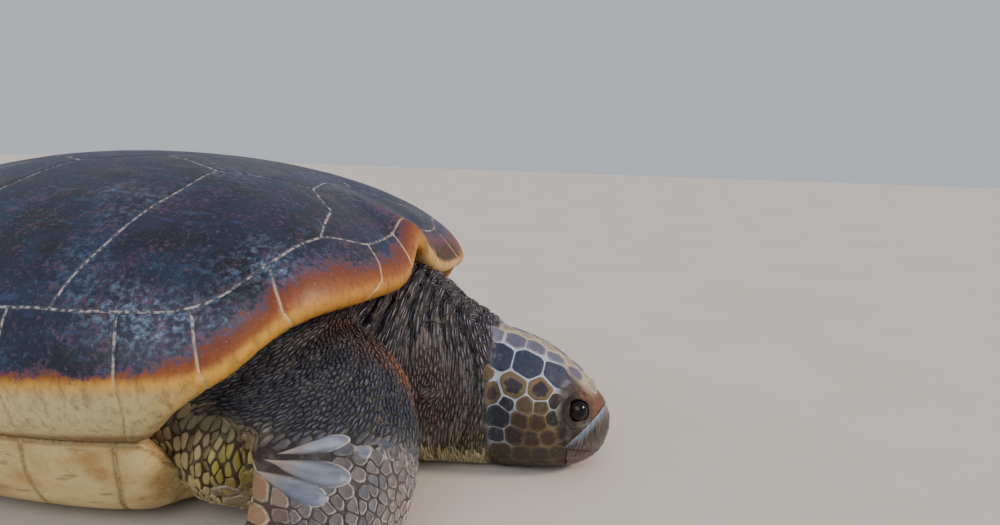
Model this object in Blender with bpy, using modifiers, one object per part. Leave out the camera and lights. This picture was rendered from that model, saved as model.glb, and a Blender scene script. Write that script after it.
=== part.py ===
"""Green sea turtle at life size, resting on its plastron with its chin and flippers on the floor.

The shell is two solids, the domed carapace and the flat plastron, both swept round the shell's pole.
Trunk, neck and upper limbs are lofted, fused into one smooth form, trimmed to the shell and parted by
thin cuts. The head, the flippers and the tail are lofts of their own that meet them face to face.
Metres, +Z up, the shell faces +X. The origin is on the flat of the plastron.
"""

import math

import bmesh
import bpy
import numpy as np
from mathutils import Matrix, Vector

# Driving sizes
SHELL_LENGTH = 0.93  # straight length of the carapace, from over the shoulders to over the tail
SHELL_WIDTH = 0.72
SHELL_HEIGHT = 0.37
SHELL_WALL = 0.022
EYE_RADIUS = 0.0145
CLAW_LENGTH = 0.024
TRAILING_TAPER = 0.28  # how much thinner a limb's section gets towards its trailing edge
GAP = 0.0004  # clearance between neighbouring pieces
CUT = 0.0006  # width of the cuts that part the soft body
DOME_CLEARANCE = 0.005  # between the trunk and the inside of the dome, where nothing shows

# Shell layout
FRONT_X = 0.472
REAR_X = FRONT_X - SHELL_LENGTH
NUCHAL_NOTCH = 0.010  # the front edge is set back over the neck
ARCH_RISE = 0.038  # and rises there
POLE_X = 0.10  # the dome's highest point
WIDEST_X = 0.06
FRONT_FULLNESS = 3.2  # superellipse power: broad round shoulders in front
REAR_FULLNESS = 1.65  # and a teardrop behind
SEAM_HEIGHT = 0.105  # where the marginals meet the plastron's bridge
SEAM_SHARE = 0.885  # that seam's distance from the pole, as a share of the rim's
LIP = 0.048  # how far the free rim overhangs the body
FRONT_TURNS = range(-50, 51, 5)  # spokes of the shell, closer together round the arch over the neck
REAR_SPOKES = 27

# Soft body layout
HEAD_TURN = 5.0  # degrees to the animal's left
HEAD_BACK = 0.5564
EYE = (0.657, 0.0415, 0.084)
MOUTH_CORNER = (0.612, 0, 0.0515)  # the mouth line runs from here
BEAK_TIP = (0.705, 0, 0.0222)  # to here
CHEEK = (0.6440, 0, 0.0414)  # and the upper beak's top edge from here
ABOVE_NOSTRILS = (0.700, 0, 0.093)  # to here
CHIN_EDGE = ((0.648, 0, -0.02), (0.648, 0, 0.0402))  # back edge of the lower beak
NECK_BACK = 0.395
NECK_SIDE = 0.128
TAIL_ROOT = -0.352
TRUNK_FLOOR = 0.0375  # underside of the trunk, inside the plastron
BREAST = (0.350, 0.164, 0.076)  # the middle of the flesh in the left armpit
BREAST_HALVES = (0.080, 0.104, 0.070)  # half its length, width and height
FUSE_VOXEL = 0.0075
FUSED_TRIANGLES = 1410

PARTS = bpy.data.collections.new("green_sea_turtle")
CUTTERS = bpy.data.collections.new("cutters")


def clear_scene():
    for obj in list(bpy.data.objects):
        bpy.data.objects.remove(obj)
    bpy.context.scene.collection.children.link(PARTS)
    bpy.context.scene.collection.children.link(CUTTERS)


def material(name, colour, roughness):
    made = bpy.data.materials.new(name)
    made.use_nodes = True
    shader = made.node_tree.nodes["Principled BSDF"]
    shader.inputs["Base Color"].default_value = (*colour, 1.0)
    shader.inputs["Roughness"].default_value = roughness
    return made


# ---------------------------------------------------------------- curves and numbers


def mix(first, second, share):
    return first + (second - first) * share


def ease(value, low, high):
    """0 below low, 1 above high, smooth between them."""
    u = min(1.0, max(0.0, (value - low) / (high - low)))
    return u * u * (3 - 2 * u)


def through(stations, at):
    """The smooth curve through (position, value) stations, read at a position."""
    places = np.array([s[0] for s in stations], float)
    values = np.array([s[1] for s in stations], float)
    slopes = np.gradient(values, places)
    at = float(np.clip(at, places[0], places[-1]))
    i = int(np.clip(np.searchsorted(places, at) - 1, 0, len(places) - 2))
    span = places[i + 1] - places[i]
    u = (at - places[i]) / span
    return (
        values[i] * (1 + 2 * u) * (1 - u) ** 2
        + values[i + 1] * u * u * (3 - 2 * u)
        + slopes[i] * span * u * (1 - u) ** 2
        - slopes[i + 1] * span * u * u * (1 - u)
    )


def superellipse(count, power):
    """Unit outline: power 2 is an ellipse, larger is squarer."""
    ring = []
    for i in range(count):
        a = 2 * math.pi * i / count
        c, s = math.cos(a), math.sin(a)
        ring.append((math.copysign(abs(c) ** (2 / power), c), math.copysign(abs(s) ** (2 / power), s)))
    return ring


def head_turned(point):
    """A point of the neck or head, turned to the side about the shell's pole."""
    a = math.radians(HEAD_TURN)
    x, y = point[0] - POLE_X, point[1]
    return Vector((POLE_X + x * math.cos(a) - y * math.sin(a), x * math.sin(a) + y * math.cos(a), point[2]))


# ---------------------------------------------------------------- meshes


def link_only(obj, collection):
    for owner in list(obj.users_collection):
        owner.objects.unlink(obj)
    collection.objects.link(obj)
    return obj


def mesh_object(name, points, faces, finish, collection):
    mesh = bpy.data.meshes.new(name)
    mesh.from_pydata([tuple(p) for p in points], [], faces)
    mesh.materials.append(finish)
    form = bmesh.new()
    form.from_mesh(mesh)
    bmesh.ops.recalc_face_normals(form, faces=form.faces)
    bmesh.ops.triangulate(form, faces=form.faces)  # so that a grown copy folds along the same diagonals
    form.to_mesh(mesh)
    form.free()
    mesh.shade_smooth()
    return link_only(bpy.data.objects.new(name, mesh), collection)


def loft(name, rings, finish, collection):
    """A closed body through rings of equally many points, its two ends closed by fans."""
    count = len(rings[0])
    points = [p for ring in rings for p in ring]
    faces = []
    for i in range(len(rings) - 1):
        for j in range(count):
            k = (j + 1) % count
            low, high = i * count, (i + 1) * count
            faces.append((low + j, low + k, high + k, high + j))
    for ring, start in ((rings[0], 0), (rings[-1], (len(rings) - 1) * count)):
        points.append(np.mean(np.array(ring), axis=0))
        hub = len(points) - 1
        for j in range(count):
            faces.append((hub, start + j, start + (j + 1) % count))
    return mesh_object(name, points, faces, finish, collection)


def applied(obj):
    """Replaces the object's mesh with its evaluated one and drops its modifiers."""
    graph = bpy.context.evaluated_depsgraph_get()
    mesh = bpy.data.meshes.new_from_object(obj.evaluated_get(graph))
    obj.modifiers.clear()
    obj.data = mesh
    return obj


def cut_away(obj, cutter):
    boolean = obj.modifiers.new("cut", "BOOLEAN")
    boolean.operation = "DIFFERENCE"
    boolean.solver = "EXACT"
    boolean.object = cutter
    return applied(obj)


def grown(obj, by):
    """A copy of a piece with its surface moved outwards, to cut its neighbours with a clearance."""
    copy = obj.copy()
    copy.data = obj.data.copy()
    CUTTERS.objects.link(copy)
    form = bmesh.new()
    form.from_mesh(copy.data)
    shifts = [v.normal * (by * v.calc_shell_factor()) for v in form.verts]
    for vertex, shift in zip(form.verts, shifts):
        vertex.co += shift
    form.to_mesh(copy.data)
    form.free()
    return copy


def block(centre, facing, along, size):
    """A box cutter: its size is given along `along`, across it, and along `facing`."""
    bpy.ops.mesh.primitive_cube_add(size=1)
    box = link_only(bpy.context.object, CUTTERS)
    box.name = "block"
    normal = Vector(facing).normalized()
    third = normal.cross(Vector(along)).normalized()
    turn = Matrix((third.cross(normal), third, normal)).transposed().to_4x4()
    box.matrix_world = Matrix.Translation(centre) @ turn @ Matrix.Diagonal((*size, 1))
    bpy.context.view_layer.update()
    return box


def pieces_of(obj, smallest=3e-7):
    """The separate closed pieces of a mesh, as (centre, mesh) pairs, without crumbs."""
    form = bmesh.new()
    form.from_mesh(obj.data)
    bmesh.ops.remove_doubles(form, verts=form.verts, dist=2e-5)
    bmesh.ops.dissolve_limit(form, angle_limit=math.radians(0.5), verts=form.verts, edges=form.edges)
    bmesh.ops.triangulate(form, faces=form.faces)
    form.verts.index_update()
    unseen = set(form.verts)
    found = []
    while unseen:
        front = [unseen.pop()]
        island = set(front)
        while front:
            for edge in front.pop().link_edges:
                fresh = set(edge.verts) - island
                island |= fresh
                front.extend(fresh)
        unseen -= island
        kept = {v.index for v in island}
        piece = form.copy()
        bmesh.ops.delete(piece, geom=[v for v in piece.verts if v.index not in kept], context="VERTS")
        if piece.calc_volume() > smallest:
            centre = sum((v.co for v in piece.verts), Vector()) / len(piece.verts)
            mesh = bpy.data.meshes.new("piece")
            piece.to_mesh(mesh)
            found.append((centre, mesh))
        piece.free()
    form.free()
    return found


def named_pieces(obj, anchors, finishes):
    """Each piece becomes a part, named after the nearest of the anchor points."""
    for centre, mesh in pieces_of(obj):
        name = min(anchors, key=lambda key: (Vector(anchors[key]) - centre).length)
        mesh.name = name
        mesh.materials.clear()
        mesh.materials.append(finishes.get(name, finishes["rest"]))
        PARTS.objects.link(bpy.data.objects.new(name, mesh))
    bpy.data.objects.remove(obj)


# ---------------------------------------------------------------- shell


def rim_spoke(turn):
    """The vector in plan from the shell's pole to its rim; turn is 0 at the neck and 180 at the tail."""
    c, s = math.cos(math.radians(turn)), math.sin(math.radians(turn))
    front = c > 0
    half_length = FRONT_X - WIDEST_X if front else WIDEST_X - REAR_X
    power = FRONT_FULLNESS if front else REAR_FULLNESS
    reach = ((abs(c) / half_length) ** power + (abs(s) / (SHELL_WIDTH / 2)) ** power) ** (-1 / power)
    return WIDEST_X - POLE_X + reach * c, reach * s


def folded(turn):
    """The turn counted from the neck on either side, 0 to 180."""
    return abs((turn + 180) % 360 - 180)


def arch(turn):
    """How much the rim rises over the neck."""
    return ARCH_RISE * math.exp(-((folded(turn) / 5) ** 2))


def rim_height(turn):
    """Lower edge of the marginals without that arch: high over the arms, low along the bridge."""
    edge = (
        (0, 0.236), (27, 0.231), (34, 0.218), (43, 0.175),
        (56, 0.167), (90, 0.158), (140, 0.142), (180, 0.108),
    )
    return through(edge, folded(turn))


def bridge(turn):
    """1 where the shell is closed along the flank, 0 where its rim is free."""
    side = folded(turn)
    return ease(side, 41, 51) * (1 - ease(side, 114, 130))


def notch(turn, share):
    """How far the front edge is set back over the neck; it fades out up the dome."""
    return NUCHAL_NOTCH * math.exp(-((folded(turn) / 6) ** 2)) * share**8


def dome_height(turn, share):
    rise = SHELL_HEIGHT - rim_height(turn)
    return rim_height(turn) + rise * max(0.0, 1 - share**2.05) ** 0.6 + arch(turn) * share**8


def carapace_section(turn):
    """(share of the spoke, height) down the dome, round the lip and back up the inner wall."""
    reach = math.hypot(*rim_spoke(turn))
    closed = bridge(turn)
    rim = rim_height(turn) + arch(turn)
    outer = [math.sin(math.radians(a)) for a in (9, 19, 29, 39, 49, 59, 68, 76, 83, 90)]
    section = [(share, dome_height(turn, share)) for share in outer]
    free = (
        (1 - 0.003 / reach, rim - 0.006),
        (1 - 0.011 / reach, rim - 0.010),
        (1 - LIP / reach, rim - 0.004),
    )
    shut = (
        (1 - 0.008 / reach, rim - 0.020),
        (1 - 0.020 / reach, rim - 0.040),
        (SEAM_SHARE, SEAM_HEIGHT),
    )
    for (share_a, height_a), (share_b, height_b) in zip(free, shut):
        section.append((mix(share_a, share_b, closed), mix(height_a, height_b, closed)))
    inner = min(section[-1][0] - 0.004 / reach, mix(1 - LIP / reach, SEAM_SHARE - 0.04, closed))
    for share in (inner, inner * 0.90, inner * 0.68, inner * 0.35):
        section.append((share, dome_height(turn, share) - SHELL_WALL))
    return section


def plastron_edge(turn):
    """(share of the spoke, height) of the plastron's edge: its bridge seam, or the free edge of a lobe."""
    side = folded(turn)
    lobe = through(((0, 0.74), (30, 0.72), (50, 0.74), (110, 0.74), (140, 0.70), (180, 0.82)), side)
    closed = bridge(turn)
    return mix(lobe, SEAM_SHARE, closed), mix(0.034, SEAM_HEIGHT - GAP * 1.6, closed)


def plastron_section(turn):
    """(share of the spoke, height) from the flat underside out to the edge and back over the top."""
    share, height = plastron_edge(turn)
    closed = bridge(turn)
    return [
        (share * 0.30, 0.0),
        (share * 0.66, 0.0),
        (share * 0.78, height * 0.06),
        (share * 0.90, height * 0.28),
        (share * 0.97, height * 0.64),
        (share, height),
        (share * 0.955, height + mix(0.001, 0, closed)),
        (share * 0.84, mix(height + 0.001, 0.052, closed)),
        (share * 0.50, 0.034),
    ]


def trunk_section(turn):
    """The body inside the shell; it is a little too big, and is trimmed to the shell afterwards."""
    reach = math.hypot(*rim_spoke(turn))
    closed = bridge(turn)
    widest = mix(1 - (LIP - 0.004) / reach, SEAM_SHARE - 0.06, closed)
    waist = mix(rim_height(turn) - 0.02, SEAM_HEIGHT, closed)
    floor = mix(TRUNK_FLOOR, TRUNK_FLOOR + 0.0245, closed)
    under = SHELL_WALL + DOME_CLEARANCE
    section = [(min(share, widest), dome_height(turn, share) - under) for share in (0.25, 0.5, 0.7, 0.82)]
    section.append((widest, dome_height(turn, widest) - under))
    section.append((widest, waist))
    section.append((widest * 0.90, mix(waist * 0.5, floor, closed)))
    section.append((widest * 0.74, floor))
    section.append((widest * 0.40, TRUNK_FLOOR))
    return section


def swept(name, section, top, bottom, finish, collection):
    """A closed body from one section for each spoke of the shell, with a pole above and one below."""
    turns = list(FRONT_TURNS)
    turns += [mix(turns[-1], 360 + turns[0], i / REAR_SPOKES) for i in range(1, REAR_SPOKES)]
    points, faces = [], []
    for turn in turns:
        across, aside = rim_spoke(turn)
        for share, height in section(turn):
            points.append((POLE_X + across * share - notch(turn, share), aside * share, height))
    count = len(points) // len(turns)
    points += [(POLE_X, 0, top), (POLE_X, 0, bottom)]
    first, last = len(points) - 2, len(points) - 1
    for i in range(len(turns)):
        here, there = i * count, (i + 1) % len(turns) * count
        faces.append((first, here, there))
        faces.append((last, there + count - 1, here + count - 1))
        for j in range(count - 1):
            faces.append((here + j, here + j + 1, there + j + 1, there + j))
    return mesh_object(name, points, faces, finish, collection)


# ---------------------------------------------------------------- limbs

# Each path is for the left side: (point, width across the blade, thickness).
RIGHT_ARM = (
    # the raised arm: its elbow is high and its forearm drops steeply to the floor
    ((0.279, 0.095, 0.130), 0.190, 0.170),
    ((0.356, 0.143, 0.140), 0.200, 0.165),
    ((0.429, 0.187, 0.130), 0.186, 0.140),
    ((0.470, 0.230, 0.108), 0.156, 0.095),  # elbow
    ((0.484, 0.267, 0.072), 0.147, 0.060),
    ((0.481, 0.312, 0.034), 0.150, 0.040),  # wrist
    ((0.462, 0.389, 0.018), 0.144, 0.030),
    ((0.413, 0.466, 0.0135), 0.124, 0.025),
    ((0.345, 0.528, 0.011), 0.096, 0.020),
    ((0.280, 0.564, 0.009), 0.058, 0.014),
    ((0.254, 0.576, 0.008), 0.022, 0.009),
)
LEFT_ARM = (
    # the other arm lies lower and further back
    ((0.270, 0.110, 0.120), 0.180, 0.150),
    ((0.335, 0.170, 0.112), 0.185, 0.135),
    ((0.390, 0.230, 0.092), 0.165, 0.105),
    ((0.425, 0.285, 0.066), 0.148, 0.075),  # elbow
    ((0.438, 0.328, 0.044), 0.140, 0.054),
    ((0.438, 0.372, 0.027), 0.140, 0.040),  # wrist
    ((0.418, 0.448, 0.018), 0.138, 0.030),
    ((0.370, 0.524, 0.0135), 0.124, 0.025),
    ((0.304, 0.588, 0.011), 0.096, 0.020),
    ((0.240, 0.626, 0.009), 0.058, 0.014),
    ((0.214, 0.639, 0.008), 0.022, 0.009),
)
ARM_ELBOW, ARM_WRIST, ARM_TIP, ARM_CLAW = 3, 5, 10, 5.8
LEG = (
    ((-0.250, 0.130, 0.090), 0.130, 0.110),
    ((-0.315, 0.195, 0.074), 0.130, 0.090),
    ((-0.370, 0.250, 0.048), 0.116, 0.058),  # knee
    ((-0.425, 0.292, 0.022), 0.112, 0.032),
    ((-0.490, 0.322, 0.013), 0.128, 0.022),
    ((-0.545, 0.342, 0.010), 0.112, 0.016),
    ((-0.580, 0.354, 0.009), 0.072, 0.012),
    ((-0.596, 0.360, 0.008), 0.026, 0.009),
)
LEG_HIP, LEG_KNEE, LEG_TIP, LEG_CLAW = 1.0, 2, 7, 3.6


class Limb:
    """A blade along a path. Its leading edge is thick, its trailing edge thin."""

    def __init__(self, path, side, count):
        self.path = [(Vector((p[0], p[1] * side, p[2])), width, thick) for p, width, thick in path]
        self.side = side
        self.outline = superellipse(count, 2.2)

    def centre(self, place):
        spots = [[(k, spot[axis]) for k, (spot, *_) in enumerate(self.path)] for axis in range(3)]
        return Vector([through(stations, place) for stations in spots])

    def along(self, place):
        step = 0.05
        return (self.centre(place + step) - self.centre(place - step)).normalized()

    def lead(self, place):
        """The level direction across the blade, towards its leading edge."""
        return self.along(place).cross(Vector((0, 0, self.side))).normalized()

    def width(self, place):
        return through([(k, p[1]) for k, p in enumerate(self.path)], place)

    def ring(self, place, shift=0.0):
        thick = through([(k, p[2]) for k, p in enumerate(self.path)], place)
        centre = self.centre(place) + self.along(place) * shift
        lead = self.lead(place)
        face = lead.cross(self.along(place))
        half = self.width(place) / 2
        ring = []
        for c, s in self.outline:
            taper = 1 - TRAILING_TAPER * (1 - c)  # thinner towards the trailing edge
            ring.append(centre + lead * (c * half) + face * (s * taper * thick / 2))
        return ring

    def rings(self, first, last, step):
        """Rings from one place to another, the first one moved on by the clearance."""
        places = np.linspace(first, last, round((last - first) / step) + 1)
        return [self.ring(p, GAP if i == 0 and first > 0 else 0.0) for i, p in enumerate(places)]


def claw(name, limb, place, finish):
    """A short curved claw out of the limb's leading edge."""
    lead, along = limb.lead(place), limb.along(place)
    root = limb.centre(place) + lead * (limb.width(place) * 0.47)
    rings = []
    for u in np.linspace(0, 1, 6):
        centre = root + lead * (u * CLAW_LENGTH * 0.75) + along * (u * u * CLAW_LENGTH * 0.6)
        half = mix(0.0052, 0.0010, u**1.3)
        face = lead.cross(along)
        rings.append([centre + along * (c * half) + face * (s * half * 0.8) for c, s in superellipse(10, 2)])
    return loft(name, rings, finish, PARTS)


# ---------------------------------------------------------------- soft body


def neck_rings():
    """Deep folded neck: from inside the shell to the back of the head, resting on the floor."""
    top = ((0.32, 0.235), (0.40, 0.250), (0.45, 0.243), (0.50, 0.206), (0.57, 0.166))
    bottom = ((0.32, 0.040), (0.40, 0.008), (0.45, -0.004), (0.57, -0.004))
    half = ((0.32, 0.150), (0.40, 0.135), (0.45, 0.112), (0.50, 0.088), (0.57, 0.070))
    rings = []
    for x in np.linspace(0.32, 0.57, 13):
        middle = (through(top, x) + through(bottom, x)) / 2
        height = (through(top, x) - through(bottom, x)) / 2
        outline = superellipse(24, 2.3)
        rings.append([head_turned((x, c * through(half, x), middle + s * height)) for c, s in outline])
    return rings


def tail_rings(first, last):
    """Short cone of a female's tail; 0 is its root inside the body and 1 its tip."""
    rings = []
    for u in np.linspace(first, last, 7):
        half, height = mix(0.036, 0.004, u**1.4), mix(0.030, 0.004, u**1.2)
        x, middle = mix(-0.320, -0.520, u), mix(0.052, 0.0035, u)
        rings.append([(x, c * half, middle + s * height) for c, s in superellipse(16, 2.0)])
    return rings


def fused(lumps, skin):
    """Several lofts as one smooth body of few triangles."""
    whole = bmesh.new()
    for lump in lumps:
        whole.from_mesh(lump.data)
        bpy.data.objects.remove(lump)
    mesh = bpy.data.meshes.new("body")
    whole.to_mesh(mesh)
    whole.free()
    mesh.materials.append(skin)
    body = link_only(bpy.data.objects.new("body", mesh), CUTTERS)
    fuse = body.modifiers.new("fuse", "REMESH")
    fuse.mode = "VOXEL"
    fuse.voxel_size = FUSE_VOXEL
    soften = body.modifiers.new("soften", "SMOOTH")
    soften.factor = 0.5
    soften.iterations = 5
    applied(body)
    thin = body.modifiers.new("thin", "DECIMATE")
    thin.ratio = FUSED_TRIANGLES / (2 * len(body.data.polygons))
    return applied(body)


def front_of(centre, facing, along, size):
    """A block cutter whose back face passes through a point."""
    return block(Vector(centre) + Vector(facing).normalized() * (size[2] / 2), facing, along, size)


def breast(side):
    """The slack flesh that fills the armpit and hangs in front of the plastron's corner."""
    bpy.ops.mesh.primitive_uv_sphere_add(segments=28, ring_count=16, radius=1)
    lump = link_only(bpy.context.object, CUTTERS)
    x, y, z = BREAST
    lump.data.transform(Matrix.Translation((x, side * y, z)) @ Matrix.Diagonal((*BREAST_HALVES, 1)))
    return lump


def soft_body(skin, shell_pieces, floor, arms, legs):
    """Trunk, neck, upper arms and thighs: fused, trimmed to their neighbours and parted by thin cuts."""
    tail_u = (TAIL_ROOT + 0.320) / -0.200
    trunk_top = SHELL_HEIGHT - SHELL_WALL - DOME_CLEARANCE
    lumps = [
        swept("trunk_form", trunk_section, trunk_top, TRUNK_FLOOR, skin, CUTTERS),
        loft("neck_form", neck_rings(), skin, CUTTERS),
        loft("tail_form", tail_rings(0, tail_u + 0.1), skin, CUTTERS),
        breast(1),
        breast(-1),
    ]
    lumps += [loft("arm_form", arm.rings(0, ARM_ELBOW + 0.5, 0.25), skin, CUTTERS) for arm in arms]
    lumps += [loft("leg_form", leg.rings(0, LEG_KNEE + 0.5, 0.25), skin, CUTTERS) for leg in legs]
    body = fused(lumps, skin)
    head_facing = head_turned((POLE_X + 1, 0, 0)) - Vector((POLE_X, 0, 0))
    trims = [floor, *(grown(piece, GAP) for piece in shell_pieces)]
    trims.append(front_of(head_turned((HEAD_BACK - CUT, 0, 0.1)), head_facing, (0, 0, 1), (0.5, 0.3, 0.1)))
    trims.append(front_of((TAIL_ROOT + GAP, 0, 0.05), (-1, 0, 0), (0, 0, 1), (0.08, 0.078, 0.08)))
    for limb, place in [(arm, ARM_ELBOW) for arm in arms] + [(leg, LEG_KNEE) for leg in legs]:
        trims.append(front_of(limb.centre(place), limb.along(place), limb.lead(place), (0.24, 0.18, 0.10)))
    hip_cut = (0.22, 0.22, CUT)
    trims += [block(leg.centre(LEG_HIP), leg.along(LEG_HIP), leg.lead(LEG_HIP), hip_cut) for leg in legs]
    trims.append(block((NECK_BACK, 0, 0.15), (1, 0, 0), (0, 1, 0), (NECK_SIDE * 2, 0.4, CUT)))
    anchors = {"trunk": (0.0, 0, 0.18), "neck": (0.48, 0, 0.11)}
    for side, word in ((1, "left"), (-1, "right")):
        neck_side = (NECK_BACK + 0.10 - CUT / 2, side * NECK_SIDE, 0.15)
        trims.append(block(neck_side, (0, 1, 0), (1, 0, 0), (0.20, 0.4, CUT)))
        shoulder = (0.315, side * 0.215, 0.15)
        trims.append(block(shoulder, (0.7, side * 0.64, 0), (-0.64, side * 0.7, 0), (0.236, 0.4, CUT)))
        anchors[f"upper_arm_{word}"] = (0.40, side * 0.2, 0.13)
        anchors[f"thigh_{word}"] = (-0.34, side * 0.22, 0.06)
    for cutter in trims:
        cut_away(body, cutter)
    named_pieces(body, anchors, {"rest": skin})


def outer_limbs(skin, horn, floor, arms, legs):
    """Forearms and flippers, hind flippers, and the claw on each leading edge."""
    for arm, leg, word in zip(arms, legs, ("left", "right")):
        pieces = [
            loft(f"forearm_{word}", arm.rings(ARM_ELBOW, ARM_WRIST, 1 / 3), skin, PARTS),
            loft(f"front_flipper_{word}", arm.rings(ARM_WRIST, ARM_TIP, 1 / 2), skin, PARTS),
            loft(f"hind_flipper_{word}", leg.rings(LEG_KNEE, LEG_TIP, 1 / 2), skin, PARTS),
        ]
        for piece in pieces:
            cut_away(piece, floor)
        front = claw(f"front_claw_{word}", arm, ARM_CLAW, horn)
        hind = claw(f"hind_claw_{word}", leg, LEG_CLAW, horn)
        cut_away(pieces[1], grown(front, GAP))
        cut_away(pieces[2], grown(hind, GAP))


# ---------------------------------------------------------------- head


def head_rings():
    """The head slopes down to a blunt round snout, with full cheeks and the chin on the floor."""
    top = ((0.50, 0.188), (0.555, 0.171), (0.58, 0.164), (0.606, 0.155), (0.631, 0.141), (0.65, 0.126),
           (0.669, 0.108), (0.682, 0.092), (0.690, 0.080), (0.6945, 0.066))
    bottom = ((0.50, -0.006), (0.555, -0.006), (0.60, -0.003), (0.65, 0.004), (0.669, 0.012), (0.682, 0.022),
              (0.690, 0.034), (0.6945, 0.050))
    half = ((0.50, 0.066), (0.555, 0.068), (0.58, 0.071), (0.606, 0.070), (0.631, 0.065), (0.65, 0.0575),
            (0.669, 0.045), (0.682, 0.032), (0.690, 0.019), (0.6945, 0.008))
    stations = [mix(HEAD_BACK, 0.650, i / 7) for i in range(8)]
    stations += [0.660, 0.669, 0.677, 0.684, 0.689, 0.6925, 0.6945]
    rings = []
    for x in stations:
        high, low, wide = through(top, x), through(bottom, x), through(half, x)
        middle, height = (high + low) / 2, (high - low) / 2
        rings.append([head_turned((x, c * wide, middle + s * height)) for c, s in superellipse(20, 2.25)])
    return rings


def eye(word, side, finish):
    bpy.ops.mesh.primitive_uv_sphere_add(segments=14, ring_count=8, radius=EYE_RADIUS)
    ball = link_only(bpy.context.object, PARTS)
    ball.name = f"eye_{word}"
    ball.data.transform(Matrix.Translation(head_turned((EYE[0], side * EYE[1], EYE[2]))))
    ball.data.materials.append(finish)
    ball.data.shade_smooth()
    return ball


def head_cut(low, high):
    """A thin cut straight across the head, between two points of its middle plane."""
    low, high = Vector(low), Vector(high)
    run = high - low
    across = head_turned((POLE_X, 1, 0)) - Vector((POLE_X, 0, 0))
    middle = head_turned((low + high) / 2)
    along = head_turned(Vector((POLE_X, 0, 0)) + run) - Vector((POLE_X, 0, 0))
    return block(middle, across.cross(along), along, (run.length, 0.2, CUT))


def head(skin, horn, eyes, floor):
    """Head and the two beak sheaths. The mouth is shut."""
    form = loft("head_form", head_rings(), skin, CUTTERS)
    cut_away(form, floor)
    for ball in eyes:
        cut_away(form, grown(ball, GAP))
    cut_away(form, head_cut(MOUTH_CORNER, BEAK_TIP))
    cut_away(form, head_cut(CHEEK, ABOVE_NOSTRILS))
    cut_away(form, head_cut(*CHIN_EDGE))
    anchors = {"head": (0.62, 0, 0.09), "upper_beak": (0.683, 0, 0.055), "lower_beak": (0.665, 0, 0.018)}
    anchors = {name: head_turned(place) for name, place in anchors.items()}
    named_pieces(form, anchors, {"rest": skin, "upper_beak": horn, "lower_beak": horn})


def main():
    clear_scene()
    skin = material("skin_blue_grey", (0.10, 0.11, 0.13), 0.75)
    shell = material("keratin_shell_dark", (0.05, 0.06, 0.09), 0.35)
    belly = material("keratin_plastron_cream", (0.72, 0.58, 0.33), 0.45)
    horn = material("keratin_beak_grey", (0.25, 0.24, 0.27), 0.40)
    dark = material("eye_dark", (0.01, 0.01, 0.012), 0.08)
    carapace = swept("carapace", carapace_section, SHELL_HEIGHT, SHELL_HEIGHT - SHELL_WALL, shell, PARTS)
    plastron = swept("plastron", plastron_section, 0.0, 0.034, belly, PARTS)
    floor = block((0, 0, -0.25), (0, 0, 1), (1, 0, 0), (3, 3, 0.5))
    arms = [Limb(LEFT_ARM, 1, 16), Limb(RIGHT_ARM, -1, 16)]
    legs = [Limb(LEG, side, 14) for side in (1, -1)]
    soft_body(skin, (carapace, plastron), floor, arms, legs)
    outer_limbs(skin, horn, floor, arms, legs)
    tail = loft("tail", tail_rings((TAIL_ROOT + 0.320) / -0.200, 1), skin, PARTS)
    cut_away(tail, floor)
    head(skin, horn, [eye("left", 1, dark), eye("right", -1, dark)], floor)
    for cutter in CUTTERS.objects:
        cutter.hide_render = True
        cutter.display_type = "WIRE"


main()
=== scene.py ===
"""Looks of the green sea turtle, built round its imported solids.

The carapace and plastron are smooth shells under separate keratin scutes. One skin stands for all the
flesh, and mosaics of solid scales lie over it. Head shields, beak, eyes, lids and claws are pieces of
their own. Metres, +Z up, the shell faces +X. "Turn" is the angle round the shell, 0 at the neck.
"""

import math

import bmesh
import bpy
import numpy as np
from mathutils import Matrix, Vector
from mathutils.bvhtree import BVHTree
from mathutils.geometry import delaunay_2d_cdt
from mathutils.kdtree import KDTree


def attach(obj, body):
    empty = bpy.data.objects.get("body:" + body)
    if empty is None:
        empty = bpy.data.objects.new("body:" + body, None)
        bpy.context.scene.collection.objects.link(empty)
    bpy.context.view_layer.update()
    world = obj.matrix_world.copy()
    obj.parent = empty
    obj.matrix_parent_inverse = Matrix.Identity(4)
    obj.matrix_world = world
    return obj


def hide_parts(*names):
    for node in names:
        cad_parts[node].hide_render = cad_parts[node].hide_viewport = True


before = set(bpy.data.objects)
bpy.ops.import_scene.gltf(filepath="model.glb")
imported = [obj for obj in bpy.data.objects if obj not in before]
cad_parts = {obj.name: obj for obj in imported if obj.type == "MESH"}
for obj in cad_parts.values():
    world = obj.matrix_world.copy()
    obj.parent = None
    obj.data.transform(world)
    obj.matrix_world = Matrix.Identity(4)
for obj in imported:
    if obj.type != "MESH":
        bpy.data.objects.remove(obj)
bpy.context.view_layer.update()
CHANCE = np.random.default_rng(7)

# Shell
SHELL_WIDTH = 0.72
SHELL_HEIGHT = 0.37
SHELL_WALL = 0.022
BELLY_WALL = 0.034
FRONT_X, REAR_X = 0.472, -0.458
POLE_X, WIDEST_X = 0.10, 0.06
LIP = 0.048
SEAM_SHARE, SEAM_HEIGHT = 0.885, 0.105
SEAM_WIDTH = 0.0013  # the pale line between two scutes
SCUTE_STEP = 0.0046
SCUTE_RISE = 0.0011
# Body
HEAD_TURN = 5.0  # degrees to the animal's left
HEAD_BACK = 0.5564
EYE = (0.657, 0.0415, 0.084)
EYE_RADIUS = 0.0145
SKIN_VOXEL = 0.0026
SKIN_TRIANGLES = 195000
UNWRAP_TRIANGLES = 5000
COAT_DEPTH = 0.0009
FLESH = ["trunk", "neck", "head", "tail"]
FLESH += [f"{part}_{side}" for part in ("upper_arm", "forearm", "front_flipper", "thigh", "hind_flipper")
          for side in ("left", "right")]


# ---------------------------------------------------------------- numbers


def mix(first, second, share):
    return first + (second - first) * share


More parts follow.
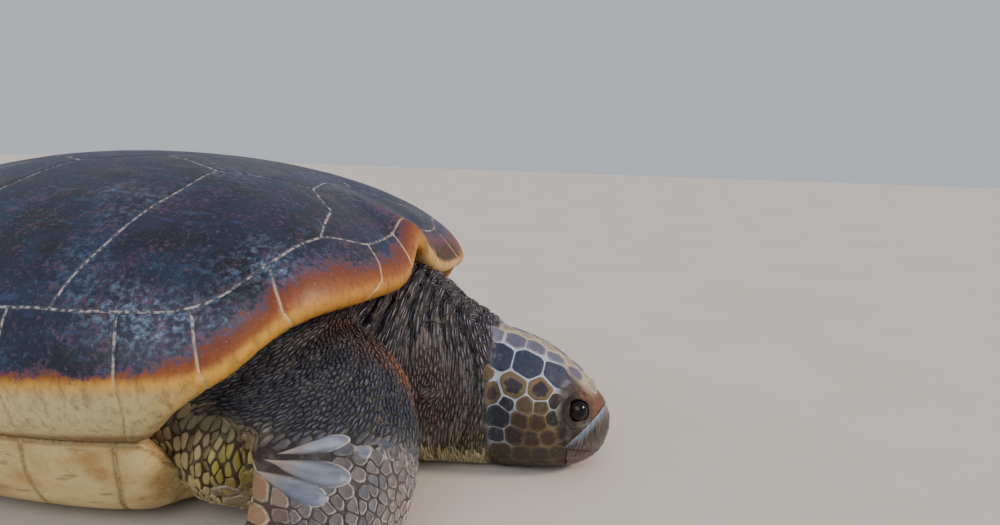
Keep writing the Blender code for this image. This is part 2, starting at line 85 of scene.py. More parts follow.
def ease(value, low, high):
    u = np.clip((value - low) / (high - low), 0, 1)
    return u * u * (3 - 2 * u)


def through(stations, at):
    """The smooth curve through (position, value) stations; a value may be an array that goes with `at`."""
    places = np.array([s[0] for s in stations], float)
    values = [np.asarray(s[1], float) for s in stations]
    at = np.clip(at, places[0], places[-1])
    slopes = []
    for i in range(len(places)):
        low, high = max(i - 1, 0), min(i + 1, len(places) - 1)
        slopes.append((values[high] - values[low]) / (places[high] - places[low]))
    result = np.zeros(np.broadcast(at, values[0]).shape)
    for i in range(len(places) - 1):
        span = places[i + 1] - places[i]
        u = (at - places[i]) / span
        part = (values[i] * (1 + 2 * u) * (1 - u) ** 2 + values[i + 1] * u * u * (3 - 2 * u)
                + slopes[i] * span * u * (1 - u) ** 2 - slopes[i + 1] * span * u * u * (1 - u))
        inside = (at >= places[i]) & ((at < places[i + 1]) | (i == len(places) - 2))
        result = np.where(inside, part, result)
    return result


def ripple(points, size, seed):
    """Smooth wandering between about -1 and 1, with features of that size in metres."""
    chance = np.random.default_rng(seed)
    total = np.zeros(len(points))
    for _ in range(6):
        way = chance.normal(size=points.shape[1])
        way /= np.linalg.norm(way)
        phase = points @ way * (2 * math.pi / size) * chance.uniform(0.6, 1.5)
        total += np.sin(phase + chance.uniform(0, 6.3))
    return total / 3


def unit(vectors):
    return vectors / np.maximum(np.linalg.norm(vectors, axis=-1, keepdims=True), 1e-12)


def linear(hex_colour):
    """An sRGB hex value as linear red, green and blue."""
    values = [int(hex_colour[i:i + 2], 16) / 255 for i in (1, 3, 5)]
    return np.array([v / 12.92 if v <= 0.04045 else ((v + 0.055) / 1.055) ** 2.4 for v in values])


# ---------------------------------------------------------------- meshes


def add_attribute(mesh, name, values):
    values = np.asarray(values, np.float32)
    if values.ndim == 1:
        mesh.attributes.new(name, "FLOAT", "POINT").data.foreach_set("value", values)
    else:
        rows = np.concatenate([values, np.ones((len(values), 1), np.float32)], axis=1)
        mesh.attributes.new(name, "FLOAT_COLOR", "POINT").data.foreach_set("color", rows.ravel())


def mesh_object(name, points, faces, attributes=None):
    mesh = bpy.data.meshes.new(name)
    mesh.from_pydata(np.asarray(points).tolist(), [], faces if isinstance(faces, list) else faces.tolist())
    for key, values in (attributes or {}).items():
        add_attribute(mesh, key, values)
    mesh.shade_smooth()
    made = bpy.data.objects.new(name, mesh)
    bpy.context.scene.collection.objects.link(made)
    return made


def points_of(mesh):
    co = np.empty(len(mesh.vertices) * 3, np.float32)
    mesh.vertices.foreach_get("co", co)
    return co.reshape(-1, 3).astype(float)


def normals_of(mesh):
    co = np.empty(len(mesh.vertices) * 3, np.float32)
    mesh.vertices.foreach_get("normal", co)
    return co.reshape(-1, 3).astype(float)


def set_points(mesh, points):
    mesh.vertices.foreach_set("co", np.asarray(points, np.float32).ravel())
    mesh.update()


def triangles_of(mesh):
    mesh.calc_loop_triangles()
    index = np.empty(len(mesh.loop_triangles) * 3, np.int32)
    mesh.loop_triangles.foreach_get("vertices", index)
    return index.reshape(-1, 3)


def tree_of(mesh):
    return BVHTree.FromPolygons(points_of(mesh).tolist(), triangles_of(mesh).tolist())


def grid_faces(rows, columns, closed):
    """Quads of a grid of points; closed joins the last column to the first."""
    faces = []
    for i in range(rows - 1):
        for j in range(columns if closed else columns - 1):
            k = (j + 1) % columns
            faces.append((i * columns + j, i * columns + k, (i + 1) * columns + k, (i + 1) * columns + j))
    return faces


def evaluated(obj):
    """The object with its modifiers applied."""
    graph = bpy.context.evaluated_depsgraph_get()
    mesh = bpy.data.meshes.new_from_object(obj.evaluated_get(graph))
    obj.modifiers.clear()
    obj.data = mesh
    return obj


def smoothed(mesh, rounds):
    """Evens out a mesh without shrinking it."""
    points = points_of(mesh)
    ends = np.empty(len(mesh.edges) * 2, np.int32)
    mesh.edges.foreach_get("vertices", ends)
    a, b = ends.reshape(-1, 2).T
    most = len(points)
    count = np.bincount(ends, minlength=most)[:, None]
    for step in range(rounds * 2):
        sums = [np.bincount(a, points[b, k], most) + np.bincount(b, points[a, k], most) for k in range(3)]
        points += (np.stack(sums, axis=1) / count - points) * (0.62 if step % 2 == 0 else -0.64)
    set_points(mesh, points)


def copied(names, grow):
    """CAD nodes joined in one mesh, with each surface moved out by `grow`."""
    form = bmesh.new()
    for name in names:
        form.from_mesh(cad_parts[name].data)
    bmesh.ops.remove_doubles(form, verts=form.verts, dist=1e-5)
    bmesh.ops.recalc_face_normals(form, faces=form.faces)
    shifts = [v.normal * (grow * v.calc_shell_factor()) for v in form.verts]
    for vertex, shift in zip(form.verts, shifts):
        vertex.co += shift
    mesh = bpy.data.meshes.new("joined")
    form.to_mesh(mesh)
    form.free()
    return mesh


def remeshed(name, names, grow, voxel):
    """One even closed surface round the named CAD nodes."""
    made = bpy.data.objects.new(name, copied(names, grow))
    bpy.context.scene.collection.objects.link(made)
    fuse = made.modifiers.new("fuse", "REMESH")
    fuse.mode = "VOXEL"
    fuse.voxel_size = voxel
    return evaluated(made)


def faced_out(obj):
    """Turns every face outward."""
    form = bmesh.new()
    form.from_mesh(obj.data)
    bmesh.ops.recalc_face_normals(form, faces=form.faces)
    form.to_mesh(obj.data)
    form.free()
    return obj


def placed(obj, slot, *nodes):
    """Parents a finished piece to the root body and hides the CAD nodes it stands for."""
    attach(obj, "root")
    if nodes:
        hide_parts(*nodes)
    return obj


# ---------------------------------------------------------------- shell surfaces


def folded(turn):
    return np.abs((turn + 180) % 360 - 180)


def spoke(turn):
    """The vector in plan from the shell's pole to its rim."""
    c, s = np.cos(np.radians(turn)), np.sin(np.radians(turn))
    half_length = np.where(c > 0, FRONT_X - WIDEST_X, WIDEST_X - REAR_X)
    power = np.where(c > 0, 3.2, 1.65)
    reach = ((np.abs(c) / half_length) ** power + (np.abs(s) / (SHELL_WIDTH / 2)) ** power) ** (-1 / power)
    return WIDEST_X - POLE_X + reach * c, reach * s


def rim_height(turn):
    edge = ((0, 0.236), (27, 0.231), (34, 0.218), (43, 0.175), (56, 0.167), (90, 0.158), (140, 0.142),
            (180, 0.108))
    return through(edge, folded(turn))


def arch(turn):
    return 0.038 * np.exp(-((folded(turn) / 5) ** 2))


def bridge(turn):
    return ease(folded(turn), 41, 51) * (1 - ease(folded(turn), 114, 130))


def dome_height(turn, share):
    rise = SHELL_HEIGHT - rim_height(turn)
    return rim_height(turn) + rise * np.maximum(0.0, 1 - share**2.05) ** 0.6 + arch(turn) * share**8


def at_share(turn, share, height):
    across, aside = spoke(turn)
    notch = 0.010 * np.exp(-((folded(turn) / 6) ** 2)) * np.clip(share, 0, 1) ** 8
    return np.stack(np.broadcast_arrays(POLE_X + across * share - notch, aside * share, height), axis=-1)


def carapace_at(turn, t):
    """The outer surface: t goes 0 to 1 down the dome to the rim, and on to 2 round the lip."""
    turn, t = np.broadcast_arrays(np.asarray(turn, float), np.asarray(t, float))
    across, aside = spoke(turn)
    reach = np.hypot(across, aside)
    closed = bridge(turn)
    rim = rim_height(turn) + arch(turn)
    share = np.sin(np.clip(t, 0, 1) * math.pi / 2)
    shares = [(1.0, np.ones_like(reach)), (1.2, mix(1 - 0.003 / reach, 1 - 0.008 / reach, closed)),
              (1.5, mix(1 - 0.011 / reach, 1 - 0.020 / reach, closed)),
              (2.0, mix(1 - LIP / reach, SEAM_SHARE, closed))]
    heights = [(1.0, rim), (1.2, mix(rim - 0.006, rim - 0.020, closed)),
               (1.5, mix(rim - 0.010, rim - 0.040, closed)), (2.0, mix(rim - 0.004, SEAM_HEIGHT, closed))]
    under = t > 1
    share = np.where(under, through(shares, np.maximum(t, 1)), share)
    height = np.where(under, through(heights, np.maximum(t, 1)), dome_height(turn, np.clip(share, 0, 1)))
    return at_share(turn, share, height)


def plastron_at(turn, t):
    """The underside: t goes 0 to 1 from the middle of the belly out to the edge."""
    turn, t = np.broadcast_arrays(np.asarray(turn, float), np.asarray(t, float))
    lobe = through(((0, 0.74), (30, 0.72), (50, 0.74), (110, 0.74), (140, 0.70), (180, 0.82)), folded(turn))
    closed = bridge(turn)
    edge = mix(lobe, SEAM_SHARE, closed)
    top = mix(BELLY_WALL, SEAM_HEIGHT - 0.0012, closed)
    shares = [(0, 0.0), (0.4, 0.5), (0.58, 0.66), (0.68, 0.78), (0.80, 0.90), (0.90, 0.97), (1, 1.0)]
    heights = [(0, 0.0), (0.4, 0.0), (0.58, 0.0), (0.68, 0.06), (0.80, 0.28), (0.90, 0.64), (1, 1.0)]
    return at_share(turn, edge * through(shares, t), top * through(heights, t))


class Unrolled:
    """A shell surface laid flat round its pole, so that scutes can be cut out of it at their true size."""

    def __init__(self, surface, last, side):
        self.surface, self.last, self.side = surface, last, side
        self.turns = np.linspace(-180, 180, 361)
        ts = np.linspace(0, last, 161)
        grid = surface(self.turns[:, None], ts[None, :])
        steps = np.linalg.norm(np.diff(grid, axis=1), axis=2)
        self.runs = np.concatenate([np.zeros((361, 1)), np.cumsum(steps, axis=1)], axis=1)
        self.far = self.runs.max()
        even = np.linspace(0, self.far, 601)
        self.back = np.array([np.interp(even, run, ts) for run in self.runs])

    @staticmethod
    def read(table, row, column):
        i = np.clip(np.floor(row).astype(int), 0, table.shape[0] - 2)
        j = np.clip(np.floor(column).astype(int), 0, table.shape[1] - 2)
        u, v = np.clip(row - i, 0, 1), np.clip(column - j, 0, 1)
        low = mix(table[i, j], table[i, j + 1], v)
        return mix(low, mix(table[i + 1, j], table[i + 1, j + 1], v), u)

    def flat(self, turn, t):
        turn, t = np.broadcast_arrays(np.asarray(turn, float), np.asarray(t, float))
        run = self.read(self.runs, turn + 180, t / self.last * 160)
        angle = np.radians(turn)
        return np.stack([run * np.cos(angle), run * np.sin(angle)], axis=-1)

    def flat_of_plan(self, x, y):
        """The flat place of a point of the dome given in plan."""
        ways = [np.degrees(np.arctan2(*reversed(spoke(turn)))) for turn in self.turns[1:-1]]
        turn = np.interp(math.degrees(math.atan2(y, x - POLE_X)), ways, self.turns[1:-1])
        share = math.hypot(x - POLE_X, y) / math.hypot(*spoke(turn))
        return self.flat(turn, math.asin(min(share, 1.0)) * 2 / math.pi)

    def place(self, flat):
        turn = np.degrees(np.arctan2(flat[:, 1], flat[:, 0]))
        run = np.hypot(flat[:, 0], flat[:, 1])
        return turn, self.read(self.back, turn + 180, run / self.far * 600)

    def lift(self, flat, height):
        """Points on the real surface at flat places, raised along its normal, with their turn and t."""
        step = 4e-4
        turn, t = self.place(flat)
        here = self.surface(turn, t)
        nudge = step / np.maximum(np.hypot(*flat.T), 0.01)
        along = self.surface(*self.place(flat * (1 - nudge)[:, None])) - here
        around = self.surface(turn + np.degrees(nudge), t) - here
        normal = unit(np.cross(around, along)) * self.side
        return here + normal * height[:, None], turn, t


def away_from_line(points, line):
    """The distance of each point from a closed line."""
    a, b = line, np.roll(line, -1, axis=0)
    run = b - a
    least = np.full(len(points), np.inf)
    length = np.maximum((run * run).sum(1), 1e-15)
    for start in range(0, len(points), 2000):
        part = points[start:start + 2000, None]
        u = np.clip(((part - a) * run).sum(-1) / length, 0, 1)
        least[start:start + 2000] = np.sqrt((((part - a) - run * u[..., None]) ** 2).sum(-1).min(1))
    return least


def inside_line(points, line):
    a, b = line, np.roll(line, -1, axis=0)
    x, y = points[:, 0, None], points[:, 1, None]
    crosses = (a[:, 1] > y) != (b[:, 1] > y)
    rise = np.where(np.abs(b[:, 1] - a[:, 1]) < 1e-15, 1e-15, b[:, 1] - a[:, 1])
    return (crosses & (x < a[:, 0] + (y - a[:, 1]) * (b[:, 0] - a[:, 0]) / rise)).sum(1) % 2 == 1


def resampled(line, step):
    """A closed line as evenly spaced points."""
    line = np.concatenate([line, line[:1]])
    length = np.concatenate([[0], np.cumsum(np.linalg.norm(np.diff(line, axis=0), axis=1))])
    at = np.linspace(0, length[-1], max(12, round(length[-1] / step)), endpoint=False)
    return np.stack([np.interp(at, length, line[:, k]) for k in (0, 1)], axis=1)


def wandered(flat):
    """Bends every seam a little, the same way for the scutes on both sides of it."""
    return flat + np.stack([ripple(flat, 0.07, 3), ripple(flat, 0.07, 4)], axis=1) * 0.0012


def signed_area(line):
    """Twice the area inside a closed line: above 0 where it runs anticlockwise."""
    return np.sum(line[:, 0] * np.roll(line[:, 1], -1) - line[:, 1] * np.roll(line[:, 0], -1))


def drawn_in(line, by):
    run = unit(np.roll(line, -1, axis=0) - np.roll(line, 1, axis=0))
    return line + np.stack([-run[:, 1], run[:, 0]], axis=1) * (by * math.copysign(1, signed_area(line)))


def scutes(name, unrolled, outlines):
    """Closed keratin plates over a shell surface, one for each outline, with how they lie as facts."""
    points, faces, facts, start = [], [], [], 0
    for outline in outlines:
        line = resampled(wandered(resampled(outline, 0.003)), 0.0028)
        line = drawn_in(line if signed_area(line) > 0 else line[::-1], SEAM_WIDTH / 2)
        low, high = line.min(0), line.max(0)
        columns = np.arange(low[0], high[0], SCUTE_STEP)
        rows = np.arange(low[1], high[1], SCUTE_STEP * 0.866)
        grid = np.stack(np.meshgrid(columns, rows), axis=-1)
        grid[1::2, :, 0] += SCUTE_STEP / 2
        inner = [grid.reshape(-1, 2)] + [drawn_in(line, by) for by in (0.0007, 0.0018, 0.0034)]
        kept = [line]
        for spots, clear in zip(inner, (0.0045, 0.0006, 0.0016, 0.0030)):
            spots = spots[inside_line(spots, line)]
            kept.append(spots[away_from_line(spots, line) > clear])
        spots = [Vector(spot) for spot in np.concatenate(kept)]
        found = delaunay_2d_cdt(spots, [], [list(range(len(line)))], 1, 1e-7)
        flat = np.array([tuple(spot) for spot in found[0]])
        rim = set()
        for face in found[2]:
            for side in zip(face, (*face[1:], face[0])):
                if side[::-1] in rim:
                    rim.remove(side[::-1])
                else:
                    rim.add(side)
        edge = away_from_line(flat, line)
        edge[[a for a, _ in rim]] = 0
        # keratin laid down year by year leaves low ridges that follow the scute's outline
        height = SCUTE_RISE * (1 - np.exp(-edge / 0.0011)) - 0.0004
        ridges = 0.00022 * ripple(flat, 0.06, 11) + 0.00006 * np.sin(edge * 1300)
        height += ease(edge, 0.002, 0.008) * ridges
        place, turn, t = unrolled.lift(flat, height)
        middle = unrolled.lift(flat.mean(0)[None], np.array([-0.008]))[0]
        top = [tuple(start + v for v in face) for face in found[2]]
        top += [(start + b, start + a, start + len(place)) for a, b in sorted(rim)]
        faces += top if unrolled.side > 0 else [face[::-1] for face in top]
        points += [place, middle]
        far = np.linalg.norm(flat - flat.mean(0), axis=1)
        tone = np.full(len(flat), CHANCE.uniform())
        rows = np.stack([edge, turn, t, far, tone], axis=1)
        facts += [rows, rows.mean(0)[None]]
        start += len(place) + 1
    return mesh_object(name, np.concatenate(points), faces), np.concatenate(facts)


def closed_shell(name, rings, ends, flipped=False):
    """One closed surface through rings of points, shut by one point inside the first ring and one inside
    the last."""
    around = len(rings[0])
    last = len(rings) * around
    faces = grid_faces(len(rings), around, True)
    for j in range(around):
        k = (j + 1) % around
        faces.append((last, k, j))
        faces.append((last + 1, last - around + j, last - around + k))
    if flipped:
        faces = [face[::-1] for face in faces]
    return mesh_object(name, np.concatenate([*rings, ends]), faces)


# ---------------------------------------------------------------- carapace

# Seams between marginal scutes: (turn at the inner end, turn at the rim)
MARGINAL_SEAMS = ((5.9, 5.7), (15.4, 19.9), (34.4, 32.9), (44.0, 42.9), (52.6, 51.9), (67, 66), (83, 82),
                  (100, 99.5), (117, 117), (133.5, 134), (150.5, 150.5), (166.5, 166.5), (180, 180))
# Where scutes meet on the right side of the dome, in plan
VERTEBRAL_FRONT = (0.391, -0.093)
VERTEBRAL_1_2 = (0.345, -0.050)
VERTEBRAL_2 = (0.262, -0.112)
VERTEBRAL_2_3 = (0.165, -0.066)
VERTEBRAL_3 = (0.080, -0.118)
VERTEBRAL_3_4 = (-0.020, -0.062)
VERTEBRAL_4 = (-0.110, -0.100)
VERTEBRAL_4_5 = (-0.200, -0.042)
VERTEBRAL_5_TURN = 156.0
COSTAL_TURNS = (24.4, 61.0, 92.0, 127.0, VERTEBRAL_5_TURN)
# The corners of each costal scute next to the vertebrals, from the back one to the front one
COSTAL_CORNERS = ((VERTEBRAL_2, VERTEBRAL_1_2, VERTEBRAL_FRONT), (VERTEBRAL_3, VERTEBRAL_2_3, VERTEBRAL_2),
                  (VERTEBRAL_4, VERTEBRAL_3_4, VERTEBRAL_3), (VERTEBRAL_4_5, VERTEBRAL_4))
# The rings of the carapace's bone: their turns, their t outside, and their share of the way out inside
BONE_TURNS = np.arange(0, 360, 1.5)
BONE_OUTSIDE = (*np.linspace(0.03, 1, 44), *np.linspace(1.05, 2, 14))
BONE_INSIDE = (1.0, 0.96, 0.90, 0.79, 0.68, 0.51, 0.35)


def margin_share(turn):
    """Where the marginals end, as a share of the way from the pole to the rim."""
    stations = ((0, 0.925), (8, 0.922), (16, 0.922), (24.4, 0.885), (34, 0.915), (44, 0.930), (60, 0.925),
                (100, 0.920), (150, 0.915), (180, 0.925))
    return through(stations, folded(turn))


def carapace_outlines(dome):
    """The outlines of all scutes, by kind, on the flat dome. The right side is drawn and then mirrored."""

    def margin_line(first, last):
        turns = np.linspace(first, last, max(3, int(abs(last - first) * 1.5)))
        return dome.flat(-turns, np.arcsin(margin_share(turns)) * 2 / math.pi)

    def rim_line(first, last):
        return dome.flat(-np.linspace(first, last, 12), 2.0)

    def seam(inner, rim):
        t = np.linspace(math.asin(float(margin_share(inner))) * 2 / math.pi, 2.0, 14)
        return dome.flat(-(inner + (rim - inner) * ease(t, 0.86, 1.1)), t)

    def run(*corners):
        spots = [dome.flat_of_plan(*corner) for corner in corners]
        parts = [mix(a, b, np.linspace(0, 1, 9)[:-1, None]) for a, b in zip(spots, spots[1:])]
        return np.concatenate([*parts, spots[-1][None]])

    def mirrored(line):
        return line * (1, -1)

    def both(half):
        """A scute on the midline from its right half, which runs from the front to the back."""
        return np.concatenate([half, mirrored(half)[::-1]])

    marginals = []
    for (inner, rim), (inner_2, rim_2) in zip(MARGINAL_SEAMS, MARGINAL_SEAMS[1:]):
        marginals.append(np.concatenate([margin_line(inner, inner_2), seam(inner_2, rim_2),
                                         rim_line(rim_2, rim), seam(inner, rim)[::-1]]))
    first = MARGINAL_SEAMS[0]
    nuchal = both(np.concatenate([margin_line(0.01, first[0]), seam(*first), rim_line(first[1], 0.01)]))
    line_ends = [margin_line(turn, turn + 0.01)[0] for turn in COSTAL_TURNS]

    def to_margin(corner, k):
        spot = dome.flat_of_plan(*corner)
        return mix(spot, line_ends[k], np.linspace(0, 1, 12)[:, None])

    costals = []
    for k, inner in enumerate(COSTAL_CORNERS):
        costals.append(np.concatenate([
            margin_line(COSTAL_TURNS[k], COSTAL_TURNS[k + 1]), to_margin(inner[0], k + 1)[::-1],
            run(*inner), to_margin(inner[-1], k)]))

    def midline(corner, behind=0.0):
        """The place on the midline level with a corner, or a little behind it."""
        return corner[0] - behind, -1e-4

    front, back = midline(VERTEBRAL_1_2, 0.012), midline(VERTEBRAL_4_5)
    waist_2_3, waist_3_4 = midline(VERTEBRAL_2_3), midline(VERTEBRAL_3_4)
    vertebrals = [
        both(np.concatenate([margin_line(0.01, COSTAL_TURNS[0]), to_margin(VERTEBRAL_FRONT, 0)[::-1],
                             run(VERTEBRAL_FRONT, VERTEBRAL_1_2, front)])),
        both(run(front, VERTEBRAL_1_2, VERTEBRAL_2, VERTEBRAL_2_3, waist_2_3)),
        both(run(waist_2_3, VERTEBRAL_2_3, VERTEBRAL_3, VERTEBRAL_3_4, waist_3_4)),
        both(run(waist_3_4, VERTEBRAL_3_4, VERTEBRAL_4, VERTEBRAL_4_5, back)),
        both(np.concatenate([run(back, VERTEBRAL_4_5), to_margin(VERTEBRAL_4_5, 4),
                             margin_line(VERTEBRAL_5_TURN, 179.99)])),
    ]
    return {
        "marginal": marginals + [mirrored(line) for line in marginals] + [nuchal],
        "costal": costals + [mirrored(line) for line in costals],
        "vertebral": vertebrals,
    }


def carapace_base():
    """The bone under the scutes: outer surface, lip and inner wall in one closed shell."""
    reach = np.hypot(*spoke(BONE_TURNS))
    inner = mix(1 - LIP / reach, SEAM_SHARE - 0.04, bridge(BONE_TURNS))
    rings = [carapace_at(BONE_TURNS, t) for t in BONE_OUTSIDE]
    for part in BONE_INSIDE:
        rings.append(at_share(BONE_TURNS, inner * part, dome_height(BONE_TURNS, inner * part) - SHELL_WALL))
    ends = [(POLE_X, 0, SHELL_HEIGHT), (POLE_X, 0, SHELL_HEIGHT - SHELL_WALL)]
    made = closed_shell("carapace_bone", rings, ends, flipped=True)
    count = len(rings)
    turns = np.concatenate([np.tile(BONE_TURNS, count), [0, 0]])
    ring = np.concatenate([np.repeat(np.arange(count), len(BONE_TURNS)), [0, count - 1]])
    add_attribute(made.data, "cover", rim_colours(points_of(made.data), turns)[0])
    add_attribute(made.data, "under", ease(ring, len(BONE_OUTSIDE) - 2, len(BONE_OUTSIDE)))
    return made


# ---------------------------------------------------------------- plastron

PLASTRON_SEAMS = (0.400, 0.290, 0.150, -0.040, -0.190, -0.330)  # transverse seams, front to back
BRIDGE_SEAMS = (43, 54, 68, 83, 99, 116, 127)  # turns between the scutes of each bridge


def plastron_outlines(belly):
    """Six pairs of belly scutes and six small ones along each bridge, on the flat underside."""
    turns = np.linspace(0.5, 179.5, 300)

    def outer_t(turn):
        return mix(1.0, 0.66, bridge(np.asarray(turn, float)))

    edge_x = plastron_at(turns, outer_t(turns))[:, 0]

    def turn_at(x):
        return float(np.interp(-x, -edge_x, turns))

    def in_plan(x, y):
        """Flat place of a belly point. The belly is a fan round the pole, so the turn is solved for."""
        ways = np.degrees(np.arctan2(spoke(turns)[1], spoke(turns)[0]))
        turn = float(np.interp(math.degrees(math.atan2(abs(y), x - POLE_X)), ways, turns))
        tries = np.linspace(0.001, 1, 400)
        far = np.hypot(*(plastron_at(turn, tries)[:, :2] - (POLE_X, 0)).T)
        return belly.flat(-turn, float(np.interp(math.hypot(x - POLE_X, y), far, tries)))

    def across(x):
        end = plastron_at(-turn_at(x), outer_t(turn_at(x)))
        return np.array([in_plan(mix(x, end[0], u), mix(-1e-4, end[1], u)) for u in np.linspace(0, 1, 24)])

    def edge(first, last):
        part = np.linspace(first, last, max(4, int(abs(last - first))))
        return belly.flat(-part, outer_t(part))

    right = []
    ends = [0.5, *(turn_at(x) for x in PLASTRON_SEAMS[1:-1]), 179.5]
    for k in range(len(ends) - 1):
        parts = [across(PLASTRON_SEAMS[k])] if k else [belly.flat(-np.linspace(0.3, 0.5, 3), 0.98)]
        parts.append(edge(ends[k], ends[k + 1]))
        if k < len(ends) - 2:
            parts.append(across(PLASTRON_SEAMS[k + 1])[::-1])
        middle = [in_plan(x, -1e-4) for x in np.linspace(
            PLASTRON_SEAMS[k + 1] if k < len(ends) - 2 else -0.37, PLASTRON_SEAMS[k] if k else 0.375, 14)]
        right.append(np.concatenate([*parts, np.array(middle)]))
    for first, last in zip(BRIDGE_SEAMS, BRIDGE_SEAMS[1:]):
        part = np.linspace(first, last, 14)
        side = np.linspace(0, 1, 12)
        right.append(np.concatenate([
            belly.flat(-part, 0.995), belly.flat(-last, mix(0.995, float(outer_t(last)), side)),
            belly.flat(-part[::-1], outer_t(part[::-1])),
            belly.flat(-first, mix(float(outer_t(first)), 0.995, side))]))
    return right + [line * (1, -1) for line in right]


def plastron_base():
    """The bone under the belly's scutes, closed on its inner side."""
    turns = np.arange(0, 360, 2.0)
    rings = [plastron_at(turns, t) for t in np.linspace(0.04, 1, 40)]
    edge = rings[-1]
    for share, height in ((0.955, 0.00024), (0.84, -0.0008), (0.50, -0.002)):
        ring = edge * (share, share, 1) + ((1 - share) * POLE_X, 0, 0)
        ring[:, 2] = np.maximum(BELLY_WALL, edge[:, 2] * mix(share, 1, bridge(turns)) + height)
        rings.append(ring)
    made = closed_shell("plastron_bone", rings, [(POLE_X, 0, 0), (POLE_X, 0, BELLY_WALL)])
    add_attribute(made.data, "cover", np.ones(len(made.data.vertices)))
    add_attribute(made.data, "under", np.full(len(made.data.vertices), 0.25))
    return made


# ---------------------------------------------------------------- materials


def node(tree, kind, inputs=None, **settings):
    """Adds a node. `inputs` gives its sockets a value each, or the output that feeds them."""
    made = tree.nodes.new(kind)
    for key, value in settings.items():
        setattr(made, key, value)
    for key, value in (inputs or {}).items():
        if isinstance(value, bpy.types.NodeSocket):
            tree.links.new(value, made.inputs[key])
        else:
            made.inputs[key].default_value = value
    return made


def new_material(name, roughness, specular=0.5, coat=0.0):
    made = bpy.data.materials.new(name)
    made.use_nodes = True
    shader = made.node_tree.nodes["Principled BSDF"]
    shader.inputs["Roughness"].default_value = roughness
    shader.inputs["Specular IOR Level"].default_value = specular
    shader.inputs["Coat Weight"].default_value = coat
    shader.inputs["Coat Roughness"].default_value = 0.22
    return made, made.node_tree, shader


def rgba(hex_colour):
    return (*linear(hex_colour), 1.0)


def noise(tree, size, detail=3.0, roughness=0.55, stretch=None, seed=0.0):
    """Fractal noise on object coordinates with features of about `size` metres; returns its value."""
    place = node(tree, "ShaderNodeTexCoord").outputs["Object"]
    if stretch or seed:
        place = node(tree, "ShaderNodeMapping", {"Vector": place, "Scale": stretch or (1, 1, 1),
                                                 "Location": (seed, seed * 0.7, 0)}).outputs[0]
    return node(tree, "ShaderNodeTexNoise", {"Vector": place, "Scale": 1 / size, "Detail": detail,
                                             "Roughness": roughness}).outputs["Fac"]


def ramp(tree, value, low, high, start=0.0, end=1.0):
    """A value spread smoothly from low and high to start and end."""
    values = {"Value": value, "From Min": low, "From Max": high, "To Min": start, "To Max": end}
    return node(tree, "ShaderNodeMapRange", values, interpolation_type="SMOOTHSTEP").outputs[0]


def blend(tree, share, first, second):
    """Two colours, hex values or outputs, mixed by a share."""
    made = node(tree, "ShaderNodeMix", {0: share}, data_type="RGBA")
    for slot, value in ((6, first), (7, second)):
        if isinstance(value, str):
            made.inputs[slot].default_value = rgba(value)
        else:
            tree.links.new(value, made.inputs[slot])
    return made.outputs[2]


def maths(tree, operation, first, second):
    return node(tree, "ShaderNodeMath", {0: first, 1: second}, operation=operation).outputs[0]


def attribute(tree, name, output="Fac"):
    return node(tree, "ShaderNodeAttribute", attribute_name=name).outputs[output]


def bump(tree, shader, height, depth):
    """Relief of `depth` metres where the height goes from 0 to 1."""
    made = node(tree, "ShaderNodeBump", {"Height": height, "Distance": depth, "Strength": 1.0})
    tree.links.new(made.outputs[0], shader.inputs["Normal"])


def shell_keratin():
    """Scute keratin: a dark, mottled, horny plate with a soft shine; amber and thin towards the rim."""
    made, tree, shader = new_material("scute_keratin_polished", 0.44, specular=0.4, coat=0.05)
    cloud = noise(tree, 0.055, 5)
    drift = noise(tree, 0.11, 3, seed=3.0)
    fleck = noise(tree, 0.0040, 4, 0.7)
    streak = noise(tree, 0.012, 3, stretch=(0.35, 1.0, 1.6), seed=5.0)
    colour = blend(tree, ramp(tree, cloud, 0.36, 0.66), "#0A1020", "#1A2A48")
    colour = blend(tree, ramp(tree, drift, 0.50, 0.72, 0, 0.75), colour, "#251F38")
    colour = blend(tree, ramp(tree, streak, 0.56, 0.74, 0, 0.40), colour, "#34507A")
    colour = blend(tree, ramp(tree, fleck, 0.57, 0.72, 0, 0.40), colour, "#6E7D98")
    colour = blend(tree, ramp(tree, fleck, 0.30, 0.42, 0.5, 0), colour, "#060810")
    grit = ramp(tree, noise(tree, 0.007, 6, 0.7), 0.44, 0.70)
    chalk = maths(tree, "MULTIPLY", attribute(tree, "chalk"), grit)
    colour = blend(tree, maths(tree, "MULTIPLY", chalk, 0.75), colour, "#7E9CC0")
    mottle = ramp(tree, noise(tree, 0.005, 5, 0.7), 0.32, 0.68, -0.30, 0.30)
    ragged = maths(tree, "ADD", maths(tree, "ADD", attribute(tree, "cover"), mottle),
                   ramp(tree, noise(tree, 0.022, 4), 0.3, 0.7, -0.16, 0.16))
    grain = noise(tree, 0.006, 4, stretch=(1, 1, 0.4))
    warm = blend(tree, ramp(tree, grain, 0.42, 0.75, 0, 0.45), attribute(tree, "tint", "Color"), "#4A2412")
    warm = blend(tree, ramp(tree, fleck, 0.60, 0.75, 0, 0.22), warm, "#E9CF9A")
    between = maths(tree, "MULTIPLY", ramp(tree, ragged, 0.05, 0.45), ramp(tree, ragged, 0.50, 0.85, 0.8, 0))
    colour = blend(tree, between, colour, "#5A3E56")
    colour = blend(tree, ramp(tree, ragged, 0.35, 0.78), colour, warm)
    worn = ramp(tree, attribute(tree, "edge"), 0.0, 0.0016, 0.22, 0)
    tree.links.new(blend(tree, worn, colour, "#A8A2A0"), shader.inputs["Base Color"])
    tree.links.new(ramp(tree, cloud, 0.3, 0.7, 0.40, 0.56), shader.inputs["Roughness"])
    scratch = noise(tree, 0.003, 3, stretch=(0.3, 1.0, 1.0))
    bump(tree, shader, maths(tree, "ADD", fleck, scratch), 0.00025)
    return made


